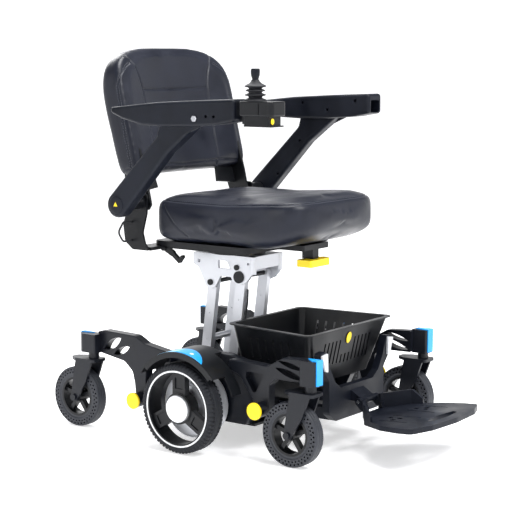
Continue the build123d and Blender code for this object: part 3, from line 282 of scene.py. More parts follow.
class Finishes:
    """The chair's materials, each made once. The dark ones have a specular level below
    the usual 0.5, which keeps them dark between the pale floor and the lamps."""

    made = {}

    @classmethod
    def get(cls, name):
        if name not in cls.made:
            cls.made[name] = cls.recipes()[name]()
        return cls.made[name]

    @staticmethod
    def recipes():
        return {
            # Coated upholstery fabric, embossed with a fine pebble: soft broad gloss.
            "coated_upholstery": lambda: grained(
                "coated_upholstery", picked("upholstery"), 2.4, 0.22, 0.22, 0.40, 0.10,
                cells=True, Specular_IOR_Level=0.30),
            # Twisted polyester thread, a shade lighter than the cover.
            "polyester_thread": lambda: grained(
                "polyester_thread", linear("#4a4e59"), 0.6, 0.10, 0.05, 0.6, 0.05),
            # Glass-filled nylon, moulded with a spark-eroded texture: dull and dark.
            "textured_nylon": lambda: grained(
                "textured_nylon", picked("arms"), 1.2, 0.10, 0.25, 0.44, 0.12,
                Specular_IOR_Level=0.2),
            # Moulded ABS, nearly black, slightly smoother than the nylon.
            "black_abs": lambda: grained(
                "black_abs", linear("#0c0e12"), 1.5, 0.04, 0.15, 0.38, 0.08,
                Specular_IOR_Level=0.28),
            # Polyester powder coat on cast aluminium: even, fine orange peel.
            "grey_powder_coat": lambda: grained(
                "grey_powder_coat", picked("frame_paint"), 2.0, 0.05, 0.15, 0.36, 0.08,
                Specular_IOR_Level=0.3),
            # Powder coat on folded steel, gloss black.
            "black_powder_coat": lambda: grained(
                "black_powder_coat", linear("#0a0c10"), 2.0, 0.04, 0.12, 0.34, 0.07,
                Specular_IOR_Level=0.28),
            # Silver lacquer over die-cast aluminium.
            "silver_lacquer": lambda: grained(
                "silver_lacquer", linear("#d3d5da"), 1.0, 0.02, 0.04, 0.36, 0.05,
                Metallic=0.55),
            # Machined aluminium cap under clear lacquer.
            "satin_aluminium": lambda: grained(
                "satin_aluminium", linear("#dcdde0"), 0.8, 0.02, 0.03, 0.34, 0.05,
                Metallic=0.6),
            # Zinc-plated steel.
            "zinc_steel": lambda: grained(
                "zinc_steel", linear("#b9bbc0"), 1.0, 0.02, 0.05, 0.28, 0.05, Metallic=1.0),
            # Vulcanised rubber of the drive tyres.
            "tyre_rubber": lambda: grained(
                "tyre_rubber", linear("#10131a"), 1.6, 0.10, 0.15, 0.66, 0.08,
                Specular_IOR_Level=0.35),
            # Solid polyurethane of the casters, greyer and smoother.
            "caster_polyurethane": lambda: grained(
                "caster_polyurethane", linear("#23262e"), 1.4, 0.04, 0.08, 0.55, 0.06),
            # Bright pigmented polycarbonate.
            "yellow_polycarbonate": lambda: grained(
                "yellow_polycarbonate", picked("yellow_trim"), 2.0, 0.02, 0.03, 0.36, 0.04),
            # The same in blue, for the bumper strips and the fender films.
            "blue_polycarbonate": lambda: grained(
                "blue_polycarbonate", picked("blue_trim"), 2.0, 0.03, 0.04, 0.36, 0.04),
            # Printed vinyl at the front of the fender films: pale, with a satin face.
            "pale_blue_film": lambda: grained(
                "pale_blue_film", linear("#86cbf3"), 1.2, 0.03, 0.12, 0.36, 0.04),
            # White vinyl of the wheel rings and dots.
            "white_film": lambda: grained(
                "white_film", linear("#eef0f2"), 2.0, 0.02, 0.02, 0.4, 0.04),
            # Moulded reflector: small cube corners under a clear face.
            "reflector_lens": lambda: grained(
                "reflector_lens", linear("#d4d6da"), 3.0, 0.5, 0.12, 0.16, 0.05,
                cells=True),
            # Soft elastomer bellows and cable sheath.
            "soft_elastomer": lambda: grained(
                "soft_elastomer", linear("#1b1c21"), 0.8, 0.04, 0.10, 0.58, 0.06),
            # Hard black anodised housing.
            "black_anodised": lambda: grained(
                "black_anodised", linear("#1d1e22"), 1.0, 0.02, 0.06, 0.38, 0.05,
                Metallic=0.7),
        }


def coat(obj, finish):
    """Gives the whole piece one finish."""
    obj.data.materials.clear()
    obj.data.materials.append(Finishes.get(finish))
    return obj


def place(obj, body, finish, slot):
    """Gives a new piece its finish and its body; the slot is not used."""
    coat(obj, finish)
    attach(obj, body)
    return obj


# ---------------------------------------------------------------- soft shapes
def remeshed(obj, voxel):
    """Even mesh of small quads over a closed shape."""
    change = obj.modifiers.new("even", "REMESH")
    change.mode = "VOXEL"
    change.voxel_size = voxel
    return applied(obj)


def applied(obj):
    """The object with its modifiers worked into its mesh."""
    depsgraph = bpy.context.evaluated_depsgraph_get()
    mesh = bpy.data.meshes.new_from_object(obj.evaluated_get(depsgraph))
    obj.modifiers.clear()
    old = obj.data
    obj.data = mesh
    bpy.data.meshes.remove(old)
    return obj


def vertex_array(mesh, field="co"):
    """One row of three numbers per vertex."""
    values = np.empty(len(mesh.vertices) * 3, np.float32)
    mesh.vertices.foreach_get(field, values)
    return values.reshape(-1, 3).astype(float)


def relaxed(obj, rounds, share=0.5):
    """Rounds the shape off: each vertex moves part of the way to its neighbours' mean."""
    mesh = obj.data
    edges = np.empty(len(mesh.edges) * 2, np.int64)
    mesh.edges.foreach_get("vertices", edges)
    a, b = edges.reshape(-1, 2).T
    count = np.bincount(np.concatenate([a, b]), minlength=len(mesh.vertices))[:, None]
    co = vertex_array(mesh)
    for _ in range(rounds):
        total = np.zeros_like(co)
        np.add.at(total, a, co[b])
        np.add.at(total, b, co[a])
        co += share * (total / np.maximum(count, 1) - co)
    mesh.vertices.foreach_set("co", co.astype(np.float32).ravel())
    mesh.update()


def swollen(obj, pressure, cap, frames=20):
    """Cloth blown up from inside for a few frames, each point moved by the cap at most."""
    before = vertex_array(obj.data)
    cloth = obj.modifiers.new("fill", "CLOTH")
    cloth.settings.use_pressure = True
    cloth.settings.uniform_pressure_force = pressure
    cloth.settings.tension_stiffness = 40
    cloth.settings.compression_stiffness = 40
    cloth.settings.bending_stiffness = 8
    cloth.settings.effector_weights.gravity = 0
    cloth.collision_settings.use_collision = False
    scene = bpy.context.scene
    for number in range(1, frames + 1):
        scene.frame_set(number)
    applied(obj)
    scene.frame_set(1)
    after = vertex_array(obj.data)
    move = after - before
    length = np.linalg.norm(move, axis=1, keepdims=True)
    move *= np.minimum(1, cap / np.maximum(length, 1e-9))
    obj.data.vertices.foreach_set("co", (before + move).astype(np.float32).ravel())
    obj.data.update()


def subdivided(obj):
    """One round of subdivision, worked in."""
    change = obj.modifiers.new("fine", "SUBSURF")
    change.levels = change.render_levels = 1
    return applied(obj)


def on_surface(obj, points):
    """Nearest points of the mesh to the given ones, and the normals there."""
    tree = BVHTree.FromObject(obj, bpy.context.evaluated_depsgraph_get())
    found = [tree.find_nearest(Vector(p)) for p in points]
    return (np.array([f[0] for f in found]), np.array([f[1] for f in found]))


def even_path(points, step):
    """Points at equal spacing along a polyline."""
    runs = np.linalg.norm(np.diff(points, axis=0), axis=1)
    length = np.concatenate([[0], np.cumsum(runs)])
    count = max(int(length[-1] / step), 4)
    at = np.linspace(0, length[-1], count)
    return np.stack([np.interp(at, length, points[:, i]) for i in range(3)], -1)


def grooved(obj, paths, width, depth):
    """Pulls the surface in along the seams: depth falls off as a bell of the distance."""
    tree = KDTree(sum(len(p) for p in paths))
    number = 0
    for path in paths:
        for point in path:
            tree.insert(Vector(point), number)
            number += 1
    tree.balance()
    co = vertex_array(obj.data)
    normal = vertex_array(obj.data, "normal")
    gap = np.array([tree.find(Vector(c))[2] for c in co])
    co -= normal * (depth * np.exp(-(gap / width) ** 2))[:, None]
    obj.data.vertices.foreach_set("co", co.astype(np.float32).ravel())
    obj.data.update()


def stitch_row(surface_obj, path, offset, pitch, share=0.68, radius=0.55 * MM):
    """Stitches beside a seam: short threads lying on the cover, offset to one side."""
    even = even_path(path, pitch / 2)
    spot, normal = on_surface(surface_obj, even)
    along = np.gradient(spot, axis=0)
    along /= np.linalg.norm(along, axis=1, keepdims=True)
    side = np.cross(along, normal)
    spot, normal = on_surface(surface_obj, spot + side * offset)
    pieces = []
    t = np.linspace(-0.5, 0.5, 5)
    arch = (1 - (2 * t) ** 2) * 0.5 * MM
    quads = grid_faces(5, 5, wrap_cols=True)
    for i in range(0, len(spot) - 1, 2):
        line = (spot[i] + along[i] * (t * pitch * share)[:, None]
                + normal[i] * arch[:, None])
        ring = tube(line, radius * np.array([0.55, 1, 1, 1, 0.55]), 5)
        pieces.append((ring.reshape(-1, 3), quads))
    return pieces


# ================================================================ seat cushion
def seat_outline(turn, half, rear, front, rear_round, front_round):
    """Rounded rectangle by angle: each quarter is a power curve whose exponent sets how
    square its corner is."""
    c, s = np.cos(turn), np.sin(turn)
    power = np.where(s > 0, rear_round, front_round)
    x = half * np.sign(c) * np.abs(c) ** (2 / power)
    y = np.where(s > 0, rear, front) * np.sign(s) * np.abs(s) ** (2 / power)
    return x, y


def seat_shape():
    """Cushion as a flattened power ellipsoid: plan outline shrinks with the sine of the
    second parameter while height follows its cosine, and the top follows a side profile
    with a raised nose."""
    low, high = corners("seat_cushion")
    half = (high[0] - low[0]) / 2 - 2.5 * MM
    cy = (high[1] + low[1]) / 2
    reach = (high[1] - low[1]) / 2 - 2.5 * MM
    turn = np.linspace(0, 2 * np.pi, 200, endpoint=False)
    lift = np.linspace(-0.5 * np.pi, 0.5 * np.pi, 60)
    ox, oy = seat_outline(turn, half, reach, reach, 14.0, 5.2)
    shrink = np.abs(np.cos(lift)) ** (2 / 9.0)
    height = np.sign(lift) * np.abs(np.sin(lift)) ** (2 / 6.5)
    x = shrink[:, None] * ox
    y = cy + shrink[:, None] * oy
    along = (y - low[1]) / (high[1] - low[1])
    across = np.abs(x) / half
    top = high[2] - 3 * MM - 12 * MM * np.clip(along / 0.5, 0, 1) ** 1.3
    top = top - 4 * MM * across ** 3 - 5 * MM * np.clip((0.10 - along) / 0.10, 0, 1) ** 2
    foot = low[2] + 34 * MM * np.clip(1 - along / 0.32, 0, 1) ** 1.6
    mid = 0.52 * top + 0.48 * foot
    z = np.where(height[:, None] > 0, mid + height[:, None] * (top - mid),
                 mid + height[:, None] * (mid - foot))
    return np.stack([x, y, z], -1)


def seat_seams(low, high):
    """Top seam round the panel, and one slanting seam on each side face."""
    cy = (low[1] + high[1]) / 2
    turn = np.linspace(0, 2 * np.pi, 400)
    half = (high[0] - low[0]) / 2 - 12 * MM
    reach = (high[1] - low[1]) / 2 - 15 * MM
    ox, oy = seat_outline(turn, half, reach, reach, 12.0, 5.6)
    along = (cy + oy - low[1]) / (high[1] - low[1])
    z = high[2] - 8 * MM - 14 * MM * np.clip(along / 0.45, 0, 1)
    top = np.stack([ox, cy + oy, z], -1)
    slants = []
    for sign in (1, -1):
        t = np.linspace(0, 1, 60)
        y = high[1] - 34 * MM - 84 * MM * t ** 1.3
        zz = high[2] - 30 * MM - (high[2] - low[2] - 44 * MM) * t
        slants.append(np.stack([np.full(60, sign * high[0]), y, zz], -1))
    return top, slants


# ================================================================ backrest
# Its own upright section before it leans back: the foot sits a little above the lowest
# CAD corner, lean is in degrees, and front, rear and pivot are places from front to back.
BACK = {
    "sink": 11 * MM, "height": 0.345, "hollow": 0.038, "lean": 14.0,
    "front": axle_y() + 0.204, "rear": axle_y() + 0.288, "pivot": axle_y() + 0.240,
}


def back_shape():
    """Bucket backrest: points spread from the middle of its outline to the edge, on a
    front sheet hollowed across and a rear sheet bowed back; the thickness closes at the
    edge as a power curve. The whole then leans back about its foot."""
    low, high = corners("back_cushion")
    half = (high[0] - low[0]) / 2 - 4 * MM
    foot = low[2] + BACK["sink"]
    tall = BACK["height"]
    turn = np.linspace(0, 2 * np.pi, 240, endpoint=False)
    c, s = np.cos(turn), np.sin(turn)
    centre = 0.50 * tall
    upper = np.sign(c) * np.abs(c) ** (2 / 3.4), np.abs(s) ** (2 / 3.4)
    lower = np.sign(c) * np.abs(c) ** (2 / 16.0), np.abs(s) ** (2 / 16.0)
    ux = np.where(s > 0, upper[0], lower[0])
    uz = np.where(s > 0, upper[1] * (tall - centre), -lower[1] * centre)
    reach = np.sin(np.linspace(0, 0.5 * np.pi, 46)) ** 0.9
    sheets = []
    for front in (True, False):
        share = reach if front else reach[::-1][1:]
        x = half * share[:, None] * ux
        z = centre + share[:, None] * uz
        narrow = 1 - 0.02 * np.clip(1 - z / tall, 0, 1)
        x = x * narrow
        rise = np.clip(z / tall, 0, 1)
        across = np.clip(np.abs(x) / (half - 16 * MM), 0, 1)
        hollow = BACK["hollow"] * (1 - across ** 2.4) * (1 - 0.35 * rise ** 3)
        face = BACK["front"] + hollow
        rear = BACK["rear"] - 9 * MM * (np.abs(x) / half) ** 4
        rear = rear + 8 * MM * np.sin(np.pi * rise) - 6 * MM * rise ** 6
        mid, thick = (face + rear) / 2, (rear - face) / 2
        close = np.clip(1 - share ** 14, 0, 1) ** (1 / 4.0)
        y = mid + (-1 if front else 1) * thick * close[:, None]
        sheets.append(np.stack([x, y, z], -1))
    points = np.concatenate(sheets)
    return leaned(points, foot)


def leaned(points, foot):
    """Turns points about the line across the chair at the back's foot."""
    lean = math.radians(BACK["lean"])
    y = points[..., 1] - BACK["pivot"]
    z = points[..., 2]
    out = points.copy()
    out[..., 1] = BACK["pivot"] + y * math.cos(lean) + z * math.sin(lean)
    out[..., 2] = foot - y * math.sin(lean) + z * math.cos(lean)
    return out


def back_seams(foot):
    """Seams of the front panel, the cross seam, and the rim seam of each side."""
    tall = BACK["height"]
    t = np.linspace(0, 1, 80)
    panel = []
    for sign in (1, -1):
        x = sign * (0.128 + 0.012 * t + 0.045 * np.clip((t - 0.62) / 0.38, 0, 1) ** 2.2)
        z = tall * (0.0 + 0.95 * t)
        panel.append(np.stack([x, np.full(80, BACK["front"] + 0.02), z], -1))
    across = np.linspace(-0.134, 0.134, 60)
    cross = np.stack([across, np.full(60, BACK["front"] + 0.04),
                      np.full(60, 0.655 * tall)], -1)
    rims = []
    for sign in (1, -1):
        z = tall * (0.0 + 0.86 * t)
        x = sign * np.where(t < 0.72, 0.250, 0.250 - 0.075 * ((t - 0.72) / 0.28) ** 2)
        y = BACK["front"] + 0.026 - 0.016 * t
        rims.append(np.stack([x, y, z], -1))
    turn = np.linspace(0, 2 * np.pi, 240)
    half = (corners("back_cushion")[1][0] - corners("back_cushion")[0][0]) / 2
    depth = (BACK["rear"] - BACK["front"]) / 2
    hem = np.stack([half * np.cos(turn), BACK["front"] + depth + depth * np.sin(turn),
                    np.full(240, 0.042 * tall)], -1)
    panel += [cross, hem]
    return [leaned(p, foot) for p in panel], [leaned(p, foot) for p in rims]


# ================================================================ settings
class ChairSizes(bpy.types.PropertyGroup):
    seat_voxel: bpy.props.FloatProperty(
        name="Cushion mesh", description="Size of the cushion's mesh before the seams",
        default=0.0055, unit="LENGTH")
    seam_depth: bpy.props.FloatProperty(
        name="Seam depth", description="How deep a seam pulls the cover in",
        default=0.0022, unit="LENGTH")
    stitch_pitch: bpy.props.FloatProperty(
        name="Stitch pitch", description="Distance from stitch to stitch",
        default=0.0065, unit="LENGTH")
    tread_depth: bpy.props.FloatProperty(
        name="Tread depth", description="Height of the drive tyre's blocks",
        default=0.003, unit="LENGTH")
    tread_pitch: bpy.props.IntProperty(
        name="Tread blocks", description="Blocks round a drive tyre", default=66)
    caster_holes: bpy.props.IntProperty(
        name="Caster holes", description="Holes in each row of a caster's side",
        default=40)


class ChairColours(bpy.types.PropertyGroup):
    upholstery: bpy.props.FloatVectorProperty(
        name="Upholstery", description="Colour of the seat and back covers",
        default=linear("#171a25")[:3], subtype="COLOR", min=0.0, max=1.0)
    arms: bpy.props.FloatVectorProperty(
        name="Arms", description="Colour of the moulded arms and the footplate",
        default=linear("#0f131d")[:3], subtype="COLOR", min=0.0, max=1.0)
    frame_paint: bpy.props.FloatVectorProperty(
        name="Frame Paint", description="Colour of the side frames and forks",
        default=linear("#0e1119")[:3], subtype="COLOR", min=0.0, max=1.0)
    yellow_trim: bpy.props.FloatVectorProperty(
        name="Yellow Trim", description="Colour of the end caps, lever and badges",
        default=linear("#ffdb00")[:3], subtype="COLOR", min=0.0, max=1.0)
    blue_trim: bpy.props.FloatVectorProperty(
        name="Blue Trim", description="Colour of the bumper strips and fender films",
        default=linear("#0a9df2")[:3], subtype="COLOR", min=0.0, max=1.0)


def sizes():
    """The sizes set in the sidebar."""
    return bpy.context.scene.wheelchair_sizes


def picked(name):
    """A colour set in the sidebar, with full alpha."""
    return (*getattr(bpy.context.scene.wheelchair_colours, name), 1.0)


# ================================================================ operators
class WHEELCHAIR_OT_seat(bpy.types.Operator):
    """Builds the padded seat with its top seam and stitching"""

    bl_idname = "wheelchair.seat"
    bl_label = "Seat Cushion"

    def execute(self, context):
        cushion = skin("seat_cushion_cover", seat_shape(), wrap_cols=True, caps=True)
        remeshed(cushion, sizes().seat_voxel)
        relaxed(cushion, 6)
        swollen(cushion, 3.0, 4 * MM)
        subdivided(cushion)
        low, high = corners("seat_cushion")
        top, slants = seat_seams(low, high)
        top_path = on_surface(cushion, even_path(top, 2 * MM))[0]
        side_paths = [on_surface(cushion, even_path(s, 2 * MM))[0] for s in slants]
        grooved(cushion, [top_path], 3.2 * MM, sizes().seam_depth)
        grooved(cushion, side_paths, 3.0 * MM, sizes().seam_depth * 0.9)
        place(cushion, "seat", "coated_upholstery", "seat_leather")
        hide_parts("seat_cushion")
        rows = []
        for offset in (-3.6 * MM, 3.6 * MM):
            rows += stitch_row(cushion, top_path, offset, sizes().stitch_pitch)
        thread = merged("seat_stitching", rows)
        place(thread, "seat", "polyester_thread", "seat_leather")
        return {"FINISHED"}


class WHEELCHAIR_OT_backrest(bpy.types.Operator):
    """Builds the bucket backrest with its panel seams and stitched rim"""

    bl_idname = "wheelchair.backrest"
    bl_label = "Backrest"

    def execute(self, context):
        back = skin("back_cushion_cover", back_shape(), wrap_cols=True, caps=True)
        remeshed(back, sizes().seat_voxel)
        relaxed(back, 5)
        swollen(back, 2.0, 3 * MM)
        subdivided(back)
        foot = corners("back_cushion")[0][2] + BACK["sink"]
        panel, rims = back_seams(foot)
        panel_paths = [on_surface(back, even_path(p, 2 * MM))[0] for p in panel]
        rim_paths = [on_surface(back, even_path(p, 2 * MM))[0] for p in rims]
        grooved(back, panel_paths, 3.0 * MM, sizes().seam_depth)
        grooved(back, rim_paths, 3.2 * MM, sizes().seam_depth)
        place(back, "back", "coated_upholstery", "seat_leather")
        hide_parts("back_cushion")
        rows = []
        for path in rim_paths:
            for offset in (-3.6 * MM, 3.6 * MM):
                rows += stitch_row(back, path, offset, sizes().stitch_pitch)
        thread = merged("back_stitching", rows)
        place(thread, "back", "polyester_thread", "seat_leather")
        return {"FINISHED"}


def tyre_profile(half, radius, rim_radius, shoulder):
    """Section of a tyre: sidewall, round shoulder, crown and back again."""
    turn = np.linspace(0, 0.5 * np.pi, 9)
    crown = np.linspace(-1, 1, 25)[1:-1]
    edge = half - shoulder
    left = np.stack([-edge - shoulder * np.cos(turn), radius - shoulder
                     + shoulder * np.sin(turn)], -1)
    flat = np.stack([crown * edge, radius - 0.0012 * crown ** 2], -1)
    right = left[::-1] * [-1, 1]
    wall = np.linspace(rim_radius, radius - shoulder, 7)[:-1]
    lower_left = np.stack([np.full(6, -half), wall], -1)
    lower_right = lower_left[::-1] * [-1, 1]
    return np.concatenate([lower_left, left, flat, right, lower_right])


class WHEELCHAIR_OT_drive_tyres(bpy.types.Operator):
    """Builds the treaded drive tyres and the white ring on each wheel"""

    bl_idname = "wheelchair.drive_tyres"
    bl_label = "Drive Tyres"

    def execute(self, context):
        pitch = sizes().tread_pitch
        for side, sign in SIDES:
            low, high = corners(f"drive_tyre_{side}")
            centre = (low + high) / 2
            radius = (high[2] - low[2]) / 2
            half = (high[0] - low[0]) / 2
            profile = tyre_profile(half, radius, radius - 16.7 * MM, 10 * MM)
            grid = turned(profile, centre, pitch * 8)
            offset = grid - [0, centre[1], centre[2]]
            reach = np.hypot(offset[..., 1], offset[..., 2])
            angle = np.arange(pitch * 8) / 8
            across = profile[:, 0] / half
            phase = (angle[None] + 0.35 * np.abs(across)[:, None] * 2) % 1
            block = np.clip(np.minimum(phase, 1 - phase) * 8 - 1.0, 0, 1)
            tread = (np.abs(across) > 0.42) & (profile[:, 1] > radius - 8.5 * MM)
            slot_ring = np.exp(-((np.abs(across) - 0.36) / 0.05) ** 2)
            cut = np.where(tread[:, None], 1 - block, 0) * sizes().tread_depth
            cut = np.maximum(cut, slot_ring[:, None] * sizes().tread_depth
                             * (profile[:, 1] > radius - 4 * MM)[:, None])
            scale = (reach - cut) / reach
            grid[..., 1] = centre[1] + offset[..., 1] * scale
            grid[..., 2] = centre[2] + offset[..., 2] * scale
            tyre = skin(f"drive_tyre_tread_{side}", grid, wrap_rows=True, wrap_cols=True)
            place(tyre, f"drive_wheel_{side}", "tyre_rubber", "drive_tyre")
            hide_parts(f"drive_tyre_{side}")
            rim_r = radius - 17.2 * MM
            turn = np.linspace(0, 2 * np.pi, 12, endpoint=False)
            ring = np.stack([1.0 * MM * np.cos(turn) + half - 1.2 * MM,
                             rim_r - 2.2 * MM + 2.3 * MM * np.sin(turn)], -1)
            band = skin(f"white_ring_{side}", turned(ring, centre, 180, sign),
                        wrap_rows=True, wrap_cols=True)
            place(band, f"drive_wheel_{side}", "white_film", "drive_tyre")
        return {"FINISHED"}


def holed_band(centre, x_face, sign, r_in, r_out, count, hole_r, depth, shift):
    """Ring-shaped band of a wheel's side with round blind holes: a square cell whose
    rim is 16 points, a circle inside it, and the same circle sunk with its floor,
    repeated round the wheel."""
    corner = np.array([(-1, -1), (-.5, -1), (0, -1), (.5, -1), (1, -1), (1, -.5), (1, 0),
                       (1, .5), (1, 1), (.5, 1), (0, 1), (-.5, 1), (-1, 1), (-1, .5),
                       (-1, 0), (-1, -.5)], float)
    turn = np.arctan2(corner[:, 1], corner[:, 0])
    circle = np.stack([np.cos(turn), np.sin(turn)], -1)
    pitch = 2 * np.pi / count
    r_mid, r_half = (r_in + r_out) / 2, (r_out - r_in) / 2
    cell_a = np.arange(count)[:, None] * pitch + shift * pitch
    rings = []
    for kind in range(3):
        if kind == 0:
            a = cell_a + corner[:, 0] * pitch / 2
            r = np.broadcast_to(r_mid + corner[:, 1] * r_half, a.shape)
        else:
            a = cell_a + circle[:, 0] * hole_r / r_mid
            r = np.broadcast_to(r_mid + circle[:, 1] * hole_r, a.shape)
        x = x_face - sign * (depth if kind == 2 else 0)
        rings.append(np.stack([np.full(a.shape, x), centre[1] + r * np.cos(a),
                               centre[2] + r * np.sin(a)], -1))
    floor_a = cell_a[:, 0]
    floor = np.stack([np.full(count, x_face - sign * depth), centre[1]
                      + r_mid * np.cos(floor_a), centre[2] + r_mid * np.sin(floor_a)], -1)
    grid = np.stack(rings, 1)
    vertices = np.concatenate([grid.reshape(-1, 3), floor])
    index = np.arange(count * 48).reshape(count, 3, 16)
    nxt = np.roll(index, -1, axis=2)
    quads = np.stack([index[:, :-1], nxt[:, :-1], nxt[:, 1:], index[:, 1:]], -1)
    base = count * 48 + np.arange(count)
    fans = np.stack([index[:, 2], nxt[:, 2], np.repeat(base[:, None], 16, 1)], -1)
    return vertices, quads.reshape(-1, 4).tolist() + fans.reshape(-1, 3).tolist()


def caster_section(half, radius, top_band):
    """Section of a solid caster tyre from side to side: an elliptic shoulder, then a
    crown with two bell-shaped grooves."""
    turn = np.linspace(0, 0.5 * np.pi, 8)
    shoulder = radius - top_band
    edge = half - 1.6 * shoulder
    arc = np.stack([edge + 1.6 * shoulder * np.cos(turn),
                    top_band + shoulder * np.sin(turn)], -1)
    flat = np.linspace(edge, 0, 12)[1:]
    groove = 1.0 * MM * np.exp(-((flat - 5 * MM) / (0.8 * MM)) ** 2)
    one_side = np.concatenate([arc, np.stack([flat, radius - groove], -1)])
    return np.concatenate([one_side, (one_side * [-1, 1])[-2::-1]])


def caster_bore(half, rim, first_band):
    """Section of the tyre's inside: down one wall, across the rim and up again."""
    wall = np.array([(half, first_band), (half - 0.6 * MM, 60 * MM),
                     (half - 2.2 * MM, 58 * MM), (half - 2.2 * MM, rim)])
    return np.concatenate([wall, wall[::-1] * [-1, 1]])


class WHEELCHAIR_OT_caster_tyres(bpy.types.Operator):
    """Builds the solid caster tyres with two rows of small holes in each side"""

    bl_idname = "wheelchair.caster_tyres"
    bl_label = "Caster Tyres"

    def execute(self, context):
        count = sizes().caster_holes
        for end in ("front", "rear"):
            for side, _ in SIDES:
                self.tyre(f"caster_tyre_{end}_{side}", f"caster_wheel_{end}_{side}", count)
        return {"FINISHED"}

    def tyre(self, name, body, count):
        """Outer skin, bore and four bands of blind holes, welded into one shape."""
        low, high = corners(name)
        centre = (low + high) / 2
        radius = (high[2] - low[2]) / 2
        half = (high[0] - low[0]) / 2
        rim = 53.1 * MM
        bands = (62.5 * MM, 69.5 * MM, 77.0 * MM)
        steps = count * 4
        parts = []
        for section in (caster_section(half, radius, bands[2]),
                        caster_bore(half, rim, bands[0])):
            grid = turned(section, centre, steps)
            parts.append((grid.reshape(-1, 3),
                          grid_faces(len(section), steps, wrap_cols=True)))
        for sign in (1, -1):
            face = centre[0] + sign * half
            for inner, outer, hole, shift in ((bands[0], bands[1], 2.3 * MM, 0.0),
                                              (bands[1], bands[2], 2.7 * MM, 0.5)):
                parts.append(holed_band(centre, face, sign, inner, outer, count, hole,
                                        9 * MM, shift))
        tyre = merged(f"{name}_cover", parts)
        point_outwards(tyre)
        shade_by_angle(tyre, 35)
        place(tyre, body, "caster_polyurethane", "caster_tyre")
        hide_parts(name)


# The fender film, in degrees round the axle from the front.
FILM_START, FILM_MEET, FILM_END = 60.0, 86.0, 122.0


def fender_film(side, sign, name, start, end, lift):
    """Thin skin over the arch of a fender, start to end degrees. Its outer edge follows the
    fender's edge, and its width is a power of the sine of the share of the whole film."""
    low, high = corners(f"fender_{side}")
    axle = middle(f"drive_tyre_{side}")
    radius = high[2] - axle[2] + lift
    steps = 60
    angle = np.linspace(start, end, steps)
    share = np.clip((angle - FILM_START) / (FILM_END - FILM_START), 0.004, 0.996)
    edge = max(abs(low[0]), abs(high[0])) - 4 * MM
    width = 50 * MM * np.sin(np.pi * share) ** 0.75
    rows = np.linspace(0, 1, 7)[:, None]
    x = sign * (edge - width * rows)
    turn = np.radians(angle)
    y = axle[1] + radius * np.cos(turn) * np.ones_like(x)
    z = axle[2] + radius * np.sin(turn) * np.ones_like(x)
    obj = new_object(name, np.stack([x, y, z], -1).reshape(-1, 3), grid_faces(7, steps))
    thick = obj.modifiers.new("film", "SOLIDIFY")
    thick.thickness = 0.3 * MM
    thick.offset = 0.0
    applied(obj)
    point_outwards(obj)
    return obj


def film_dot(side, sign, name, angle, inset, dot_r):
    """Round spot on the film: rings of growing radius laid onto the arch."""
    low, high = corners(f"fender_{side}")
    axle = middle(f"drive_tyre_{side}")
    radius = high[2] - axle[2] + 0.9 * MM
    turn = np.linspace(0, 2 * np.pi, 28, endpoint=False)
    ring = np.array([1.0, 0.95, 0.5, 0.05])[:, None] * dot_r
    lift = np.array([-0.4, 0.0, 0.0, 0.0])[:, None] * MM
    edge = max(abs(low[0]), abs(high[0])) - inset
    x = sign * (edge + ring * np.cos(turn))
    around = math.radians(angle) + ring * np.sin(turn) / radius
    y = axle[1] + (radius + lift) * np.cos(around)
    z = axle[2] + (radius + lift) * np.sin(around)
    return skin(name, np.stack([x, y, z], -1), wrap_cols=True, caps=True)


